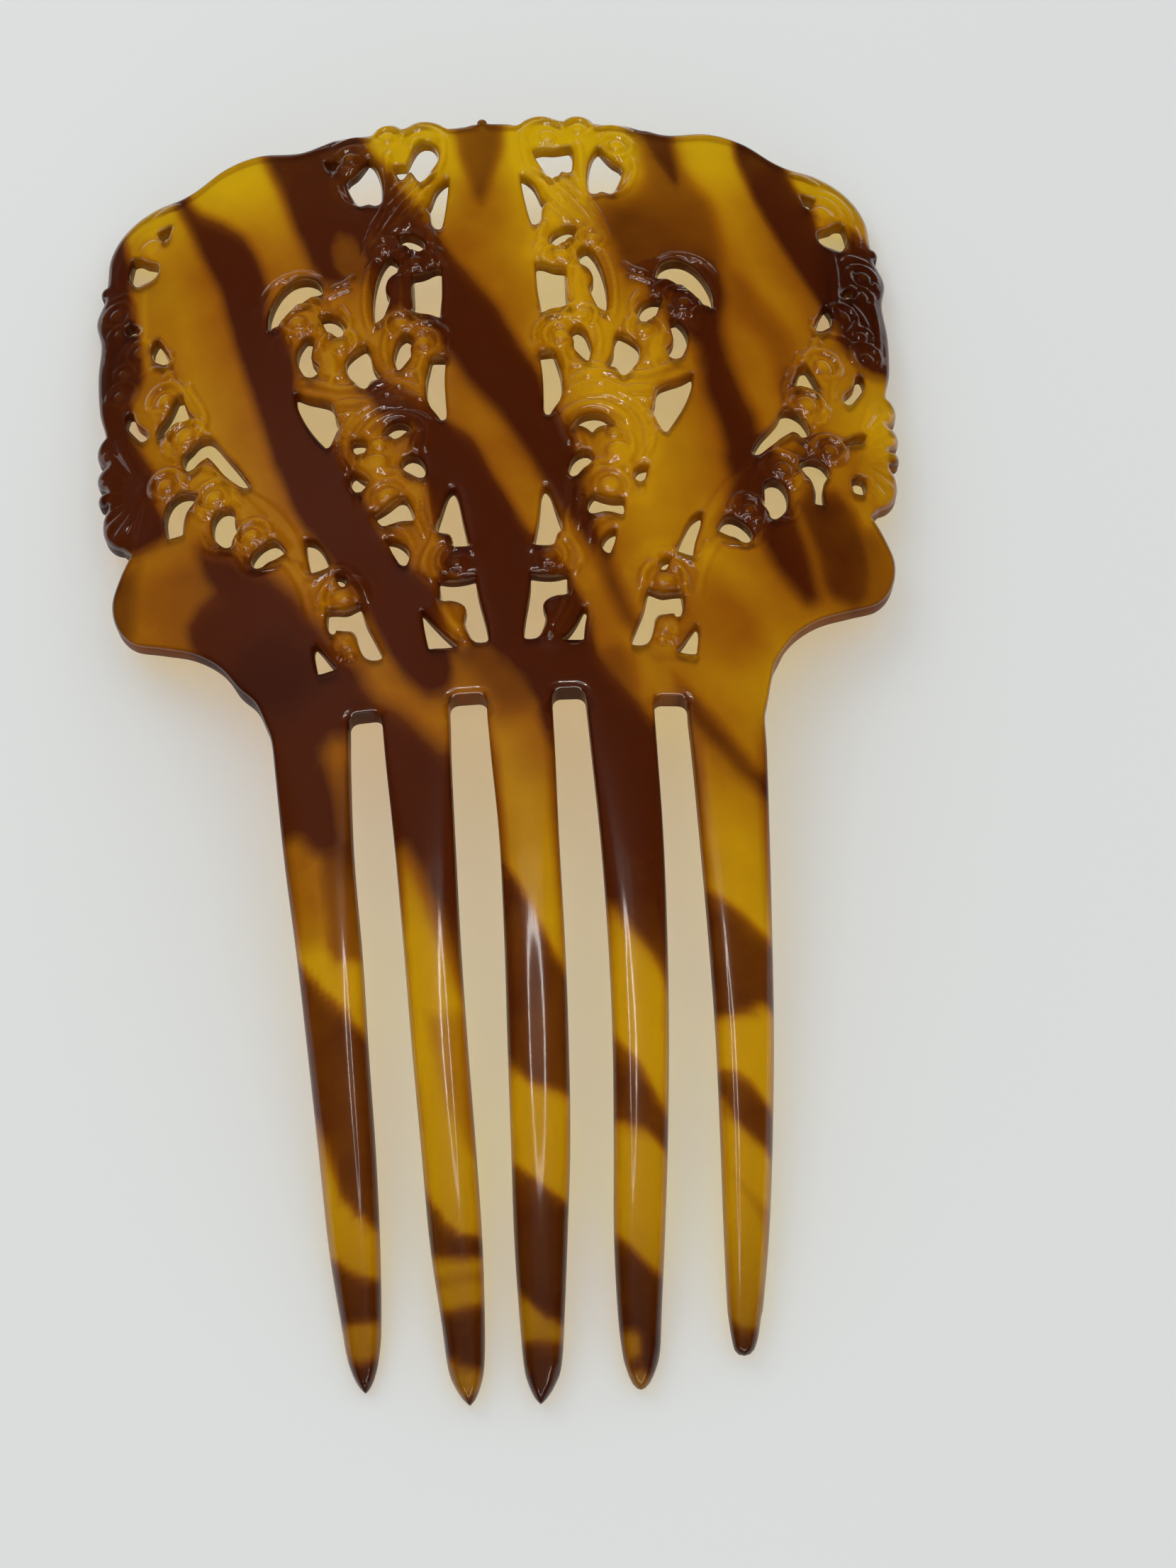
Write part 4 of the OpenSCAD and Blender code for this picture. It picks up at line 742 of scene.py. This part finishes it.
def relief(points):
    """Height of the relief over the plate, and how much each point belongs to the ornament"""
    x, y = np.abs(points[:, 0]), points[:, 1]
    high, near = np.zeros(len(points)), np.full(len(points), 9.0)
    for line, half, tall in ridges:
        reach = half.max() + 1.8
        low, top = line.min(0) - reach, line.max(0) + reach
        at = np.flatnonzero((x > low[0]) & (x < top[0]) & (y > low[1]) & (y < top[1]))
        d = np.hypot(x[at, None] - line[:, 0], y[at, None] - line[:, 1])
        bump = (tall * (1 - np.clip(d / half, 0, 1) ** 2) ** 1.15).max(1)
        high[at] = np.maximum(high[at], bump)
        near[at] = np.minimum(near[at], (d - half).min(1))
    for bx, by, r in BOSSES:
        d = np.hypot(x - bx, y - by)
        wide = d / (r * BOSS_WIDER)
        high = np.maximum(high, BOSS_HIGH * np.clip(1 - 0.2 * wide ** 2 - 0.8 * wide ** 4, 0, 1))
        near = np.minimum(near, d - r)
    return high, eased(ORNAMENT_REACH - near, 0, ORNAMENT_FADE)


def tooth_place(points):
    """For each point the tooth that it is in or nearest to, and its place across it, -1 to 1"""
    best, which = np.full(len(points), 99.0), np.zeros(len(points), int)
    for k in range(len(TEETH)):
        xl, xr = sides_at(k, np.minimum(points[:, 1], -8 if 0 < k < 4 else -5))
        s = (points[:, 0] - (xl + xr) / 2) / np.maximum((xr - xl) / 2, 0.15)
        closer = np.abs(s) < np.abs(best)
        best, which = np.where(closer, s, best), np.where(closer, k, which)
    return which, np.clip(best, -1, 1)


def in_tooth(points):
    """Change from the bar to the teeth, 0 to 1"""
    return eased(-points[:, 1], *BAR_TO_TEETH)


def thickness(points, which):
    """Thickness of the moulding, in a tooth by its number"""
    y = points[:, 1]
    s = np.array(STATIONS)
    plate = PLATE_T + (BAR_T - PLATE_T) * eased(-y, -BAR_TOP_Y - 0.4, -BAR_TOP_Y + 1)
    share = np.interp(-y, -s[:, 0], s[:, 1])
    over_tip = y - np.array([row[3] for row in TEETH])[which]
    thin = np.array(TIP_THIN).T
    share = np.minimum(share, np.interp(over_tip, *thin) + (over_tip > thin[0, -1]))
    return plate + (TOOTH_T * share - plate) * in_tooth(points)


def lift(points, which):
    """Rise of the tooth that is bent up"""
    y0, tip = STATIONS[0][0], TEETH[4][3]
    return np.where(which == 4, BENT_TIP * np.clip((y0 - points[:, 1]) / (y0 - tip), 0, 1) ** 2, 0)


def front(points, d):
    """Height of the raised face, at points that lie d from the rim"""
    x, y = points.T
    s = np.array(STATIONS)
    which, across = tooth_place(points)
    shoulder = np.interp(-y, -s[:, 0], s[:, 2])
    # a tooth is nearly flat in the middle and falls off towards its sides
    profile = TOOTH_ROUND * across ** 2 + (1 - TOOTH_ROUND) * across ** 4
    drop = thickness(points, which) * (1 - shoulder) * profile * in_tooth(points)
    # an ornament's strands are round over their whole width, other edges only close to the edge
    strand = STRAND_UP - STRAND_DROP * rounded(d, STRAND_WIDE)
    at_slot, shoulders = np.zeros(len(points), bool), 0
    for left, right, top in SLOTS:
        at_slot |= (x > left - 0.3) & (x < right + 0.3) & (np.abs(y - top) < 1.5)
        aside = np.abs(x - (left + right) / 2) - (right - left) / 2
        near = (1 - eased(aside, 0.2, 1.6)) * eased(y, top - 1.4, top - 0.4)
        shoulders = shoulders + SHOULDER_DROP * near * (1 - np.clip(d / SHOULDER_WIDE, 0, 1)) ** 1.3
    edge = -np.where(at_slot, SLOT_EDGE_DROP, EDGE_DROP) * rounded(d, EDGE_WIDE) - shoulders
    # the outer columns are softer at the top, the left one most
    high, ornament = relief(points)
    soft = np.where(x < 0, 0.6, 0.25) * eased(np.abs(x), 42, 46) * eased(y, 36, 44)
    high = high * (0.85 - soft)
    raised = ornament * (strand + high * (0.35 + 0.65 * np.clip(d / 0.45, 0, 1))) + (1 - ornament) * high
    return level(x, y) + lift(points, which) - drop + raised + edge


def back(points, d):
    """Height of the back face, at points that lie d from the rim"""
    which = tooth_place(points)[0]
    # the moulding is thinner round the pierced gaps
    thinner = GAP_THINNER * (1 - eased(to_rim(points, gap_tree), 0, 2.2)) * eased(points[:, 1], -1, 1.5)
    depth = thickness(points, which) - thinner
    return level(points[:, 0], points[:, 1], depth) + lift(points, which) + BACK_RISE * rounded(d, EDGE_WIDE)


def polygon_depth(points, p):
    """How deep each point lies in the polygon, negative outside"""
    best = np.full(len(points), 1e9)
    crossings = np.zeros(len(points), bool)
    for a, b in zip(p, np.roll(p, -1, 0)):
        e = b - a
        t = np.clip(((points - a) @ e) / (e @ e), 0, 1)
        best = np.minimum(best, np.hypot(*(points - a - t[:, None] * e).T))
        if a[1] != b[1]:
            hit = (points[:, 1] >= min(a[1], b[1])) & (points[:, 1] < max(a[1], b[1]))
            crossings ^= hit & (points[:, 0] < a[0] + (points[:, 1] - a[1]) / e[1] * e[0])
    return np.where(crossings, best, -best)


def streaks(points):
    """Darkness of the colour at each point, 0 to 1, with a wide faint halo round the streaks and painted
    shade in the middle
    """
    dark, halo = np.zeros(len(points)), np.zeros(len(points))
    for strength, soft, *numbers in STREAKS:
        corners = pairs(numbers)
        low, top = corners.min(0) - HALO_WIDE, corners.max(0) + HALO_WIDE
        at = np.flatnonzero(((points > low) & (points < top)).all(1))
        depth = polygon_depth(points[at], corners)
        dark[at] = np.maximum(dark[at], strength * eased(depth, -soft, soft))
        halo[at] = np.maximum(halo[at], HALO * strength * eased(depth, -HALO_WIDE, 0))
    # painted shade makes the middle darker than the upper edge and the teeth
    x, y = np.abs(points[:, 0]), points[:, 1]
    deep = eased(y, -36, -12) * (1 - np.maximum(0.95 * eased(y, 60, 83), 0.6 * eased(x, 40, 50)))
    # and the streaks are paler in the teeth and at the upper edge
    dark *= 1 - 0.18 * eased(-y, 12, 40) - 0.1 * eased(y, 64, 80)
    return 1 - (1 - dark) * (1 - halo * (0.25 + 0.75 * deep)) * (1 - MIDDLE_SHADE * deep)


def grid(spacing, start):
    """Points of a triangular grid over the whole plan"""
    xs = np.arange(-54, 54, spacing) + start
    ys = np.arange(-84, 86, spacing * 0.866) + start
    gx, gy = np.meshgrid(xs, ys)
    gx[1::2] += spacing / 2
    return np.stack([gx.ravel(), gy.ravel()], 1)


def tooth_points(spacing, shares):
    """Rows of points along the teeth, at fixed places across them"""
    out = []
    for k, (left, right) in enumerate(TOOTH_SIDES):
        for y in np.arange(-10, -84, -spacing):
            if y < left[-1][1] + 0.3:
                break
            xl, xr = sides_at(k, y)
            out += [[xl + share * (xr - xl), y] for share in shares]
    return np.array(out)


def face(spacing_fine, spacing_plain, spacing_teeth, across, rings, slot_rings):
    """Points and triangles of a face: a fine grid in the ornament, a plain one elsewhere, rows along
    the teeth at those places across them, and rows inside the rims"""
    fine, plain = grid(spacing_fine, 0), grid(spacing_plain, 0.13)
    fine = fine[(relief(fine)[1] > 0.02) & (fine[:, 1] > TEETH_FROM)]
    plain = plain[(to_rim(plain, tree_of(fine)) > spacing_plain * 0.6) & (plain[:, 1] > TEETH_FROM)]
    inner = np.vstack([fine, plain, tooth_points(spacing_teeth, across)])
    away = to_rim(inner)
    inner = inner[(away > rings[-1] + 0.14) & ((away > 1.4) | ~by_slot_end(inner, SHOULDER_REACH))]
    points = [inset(r) for r in rings] + [inner]
    # closer rows along the rounded shoulders at the slots
    for r in slot_rings:
        row = inset(r)
        points.append(row[by_slot_end(row, SHOULDER_REACH)])
    xy, tris, inside = triangles(np.vstack(points), rims)
    tris = [list(t) for t, i in zip(tris, inside) if list(i) == [outer_rim]]
    used = sorted({i for t in tris for i in t})
    place = {i: k for k, i in enumerate(used)}
    return xy[used], [[place[i] for i in t] for t in tris]


front_xy, front_tris = face(*FRONT_MESH)
back_xy, back_tris = face(*BACK_MESH)


def placed(xy, z):
    """Row-frame position in metres of points given in plan and height"""
    c, s = math.cos(REST_TILT), math.sin(REST_TILT)
    return np.stack([xy[:, 0], xy[:, 1] * c - z * s - PLAN_MID_Y, xy[:, 1] * s + z * c + CROWN_Z], 1) * MM


def rim_key(p):
    """Key under which the two faces share a point of the rim"""
    return (round(p[0], 3), round(p[1], 3))


def shading(plan, normals):
    """Values for the materials at each point, 0 to 1: darkness of the colour with painted shade in the
    middle; painted shade at the rims and the teeth's tips; painted light and shade on the relief, the
    teeth's sides and the slot ends; gloss"""
    x, y = plan.T
    d = to_rim(plan)
    colour = streaks(plan)
    high, ornament = relief(plan)
    # painted light and shade: the relief is lighter on its ridges, darker where it is low and where it is
    # steep against the smooth arch
    arch = np.stack([x / ARCH_R, y / BOW_R - math.sin(REST_TILT), np.ones(len(plan))], 1)
    arch /= np.linalg.norm(arch, axis=1)[:, None]
    steep = np.sqrt(np.clip(1 - (normals * arch).sum(1) ** 2, 0, 1))
    painted_light_and_shade = ornament * (0.01 - 0.24 * high + 0.4 * np.clip(steep * 1.3 - 0.15, 0, 1))
    # the painted shade of the relief is lighter at the upper edge and in the right inner column, which leans
    # to the left at the top
    painted_light_and_shade *= 1 - 0.7 * eased(y, 78.5, 83.5) * (painted_light_and_shade > 0)
    column = eased(x, 2, 5) * (1 - eased(x + 16 * eased(y, 56, 66), 24, 28)) * eased(y, 11, 15)
    painted_light_and_shade -= 0.16 * ornament * column * (1 - colour)
    # painted shade darkens the sides of the teeth and the ends of the slots
    side_shade = (1 - eased(d, 0.55, 1)) * eased(-y, 6, 13)
    painted_light_and_shade += side_shade * (0.45 - 0.22 * eased(-y, 24, 36)) * (1 - 0.8 * colour)
    for (left, right, top), end_shade in zip(SLOTS, SLOT_END_SHADE):
        at_end = (x > left - 0.05) & (x < right + 0.05) & (np.abs(y - top + 0.4) < 0.45)
        painted_light_and_shade += np.where(at_end, end_shade, 0)
    # painted shade dims the teeth towards their tips
    down, in_amber, in_brown = np.array(TIP_SHADE).T
    dim = (1 - colour) * np.interp(-y, down, in_amber) + colour * np.interp(-y, down, in_brown)
    dim *= eased(-y, 6, 12)
    for cx, cy, wide, tall, share in DARKER:
        spot = 1 - eased(np.hypot((x - cx) / wide, (y - cy) / tall), 0.5, 1.3)
        dim = np.maximum(dim, share * spot * colour)
    # rim: painted shade along the rims, joined with the dimming above
    return {"streak_and_shade": colour, "rim": 1 - eased(d, 0.02, 0.4) * (1 - dim), "painted_light_and_shade": painted_light_and_shade,
            "gloss": 1 - 0.5 * eased(-y, 7, 14)}


plan = np.vstack([front_xy, back_xy])
coords = np.vstack([placed(front_xy, front(front_xy, to_rim(front_xy))),
                    placed(back_xy, back(back_xy, to_rim(back_xy)))])
back_at = len(front_xy)
faces = front_tris + [[back_at + i for i in t[::-1]] for t in back_tris]
back_of = {rim_key(p): back_at + i for i, p in enumerate(back_xy)}
wall_from = len(faces)
for a, b in rim_of(front_tris):
    faces.append([b, a, back_of[rim_key(front_xy[a])], back_of[rim_key(front_xy[b])]])


def put(name, data):
    """New object in the scene"""
    ob = bpy.data.objects.new(name, data)
    bpy.context.scene.collection.objects.link(ob)
    return ob


mesh = bpy.data.meshes.new("comb_shell")
mesh.from_pydata(coords.tolist(), [], faces)
mesh.validate()
mesh.update()
mesh.polygons.foreach_set("use_smooth", [True] * len(mesh.polygons))
mesh.polygons.foreach_set("material_index", [int(i >= wall_from) for i in range(len(mesh.polygons))])
normals = np.empty(len(plan) * 3)
mesh.vertices.foreach_get("normal", normals)
for name, values in shading(plan, normals.reshape(-1, 3)).items():
    mesh.attributes.new(name, "FLOAT", "POINT").data.foreach_set("value", values.astype(np.float32))
mesh.set_sharp_from_angle(angle=SHARP)
shell = put("comb_shell", mesh)


def node(tree, kind, sockets=(), **settings):
    """New node, right of the others. Each socket gets a value or is linked to another node's output"""
    made = tree.nodes.new(kind)
    made.location.x = NODE_STEP * len(tree.nodes)
    for name, value in settings.items():
        setattr(made, name, value)
    for key, value in dict(sockets).items():
        if isinstance(value, bpy.types.NodeSocket):
            tree.links.new(value, made.inputs[key])
        else:
            made.inputs[key].default_value = value
    return made


def shell_material(name, cut):
    """Material of the moulding, whose rims get painted shade, or of its dull cut edges, which painted shade
    darkens
    """
    mat = bpy.data.materials.new(name)
    mat.use_nodes = True
    t = mat.node_tree
    t.nodes.clear()

    def attribute(key):
        return node(t, "ShaderNodeAttribute", attribute_name=key).outputs["Fac"]

    def maths(operation, a, b):
        return node(t, "ShaderNodeMath", {0: a, 1: b}, operation=operation).outputs[0]

    def mix(factor, a, b, **settings):
        return node(t, "ShaderNodeMix", {0: factor, 6: a, 7: b}, data_type="RGBA", **settings).outputs[2]

    streak_and_shade = attribute("streak_and_shade")
    place = node(t, "ShaderNodeTexCoord").outputs["Object"]
    cloud = node(t, "ShaderNodeTexNoise", {"Vector": place, "Scale": CLOUD_SCALE, "Detail": 3})
    centred = maths("SUBTRACT", cloud.outputs["Fac"], 0.5)
    clouded = maths("ADD", streak_and_shade, maths("MULTIPLY", centred, CLOUD_SWING))
    ramp = node(t, "ShaderNodeValToRGB", {"Fac": maths("ADD", clouded, attribute("painted_light_and_shade"))})
    shades = ramp.color_ramp.elements
    shades.new(0.5)
    for element, (position, colour) in zip(shades, SHADES):
        element.position, element.color = position, colour
    # painted shade: the colour is darkened at the rims and on the cut edges
    shade_tint = CUT_SHADE_TINT if cut else RIM_SHADE_TINT
    shade = mix(attribute("rim"), ramp.outputs["Color"], shade_tint, blend_type="MULTIPLY")
    # light on its way to the floor under the comb is tinted less, as through a thinner piece
    depth = node(t, "ShaderNodeLightPath").outputs["Diffuse Depth"]
    paler = mix(streak_and_shade, UNDER_AMBER, UNDER_BROWN)
    p = node(t, "ShaderNodeBsdfPrincipled", {
        "Base Color": mix(maths("MINIMUM", depth, 1), shade, paler),
        "Roughness": 0.32, "IOR": 1.2, "Transmission Weight": 0.9, "Specular IOR Level": 0 if cut else 0.5,
        "Coat Weight": 0 if cut else attribute("gloss"), "Coat Roughness": 0.07, "Coat IOR": 1.5})
    node(t, "ShaderNodeOutputMaterial", {"Surface": p.outputs[0]})
    return mat


mesh.materials.append(shell_material("shell", False))
mesh.materials.append(shell_material("shell_cut", True))
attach(shell, "root")
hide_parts("comb")

# Floor
floor_mesh = bpy.data.meshes.new("floor")
corners = [(x * FLOOR_HALF, y * FLOOR_HALF, 0) for x, y in ((-1, -1), (1, -1), (1, 1), (-1, 1))]
floor_mesh.from_pydata(corners, [], [(0, 1, 2, 3)])
floor = put("floor", floor_mesh)
floor.location.z = FLOOR_Z
floor_mat = bpy.data.materials.new("floor")
floor_mat.use_nodes = True
floor_bsdf = floor_mat.node_tree.nodes["Principled BSDF"]
floor_bsdf.inputs["Base Color"].default_value = FLOOR_COLOUR
floor_bsdf.inputs["Roughness"].default_value = 0.7
floor_mesh.materials.append(floor_mat)

# World: soft light from all round, which the gloss mirrors only faintly
world = bpy.data.worlds.new("world")
bpy.context.scene.world = world
world.use_nodes = True
wt = world.node_tree
wt.nodes.clear()
ray = node(wt, "ShaderNodeLightPath").outputs
in_gloss = node(wt, "ShaderNodeMath", {0: ray["Is Glossy Ray"], 1: ray["Is Transmission Ray"]},
                operation="SUBTRACT", use_clamp=True).outputs[0]
strength = node(wt, "ShaderNodeMapRange", {"Value": in_gloss, "To Min": WORLD_LIGHT,
                                           "To Max": WORLD_MIRRORED}).outputs["Result"]
sky = node(wt, "ShaderNodeBackground", {"Strength": strength, "Color": WORLD_COLOUR})
node(wt, "ShaderNodeOutputWorld", {"Surface": sky.outputs[0]})

# Camera, fitted to the photograph in the plan's frame and turned with the comb to its rest
turn = (Matrix.Rotation(CAM_ROLL, 3, "Z") @ Matrix.Rotation(CAM_SIDE, 3, "Y")
        @ Matrix.Rotation(-CAM_TILT, 3, "X"))
centre = -(turn.transposed() @ Vector((CAM_X, CAM_Y, -CAM_FAR)))
rest = Matrix.Rotation(REST_TILT, 3, "X")
where = (rest @ centre + Vector((0, -PLAN_MID_Y, CROWN_Z))) * MM
cam_data = bpy.data.cameras.new("camera")
cam = put("camera", cam_data)
cam.matrix_world = Matrix.Translation(where) @ (rest @ turn.transposed()).to_4x4()
cam_data.sensor_width = SENSOR
cam_data.lens = FOCAL_PX / FRAME_H * SENSOR
cam_data.clip_start = 0.01
bpy.context.scene.camera = cam


def lamp(name, x_angle, y_angle, wide, tall, bright, gloss_only=True):
    """Area light in the direction that leans so many degrees from overhead towards +X and +Y"""
    data = bpy.data.lights.new(name, "AREA")
    data.shape = "RECTANGLE"
    data.size, data.size_y = (2 * LAMP_FAR * math.tan(math.radians(a / 2)) for a in (wide, tall))
    data.energy = bright * math.pi * data.size * data.size_y
    data.color = GLOSS_COLOUR if gloss_only else (1, 1, 1)
    ob = put(name, data)
    d = Vector((math.tan(math.radians(x_angle)), math.tan(math.radians(y_angle)), 1)).normalized()
    ob.location = d * LAMP_FAR
    ob.rotation_euler = d.to_track_quat("Z", "Y").to_euler()
    ob.visible_diffuse = ob.visible_transmission = not gloss_only
    ob.visible_glossy = gloss_only


lamp("key", *KEY, False)
for k in range(RING_LAMPS):
    a = math.tau * k / RING_LAMPS
    bright = RING_BRIGHT * (1 if math.sin(a) > -0.4 else RING_LOW)
    lamp("ring_%d" % k, RING_WIDE * math.cos(a), RING_LEAN + RING_TALL * math.sin(a),
         RING_SIZE, RING_SIZE, bright)
for name, row in MIRRORED_LAMPS.items():
    lamp(name, *row)

bpy.context.scene.view_settings.view_transform = "Standard"
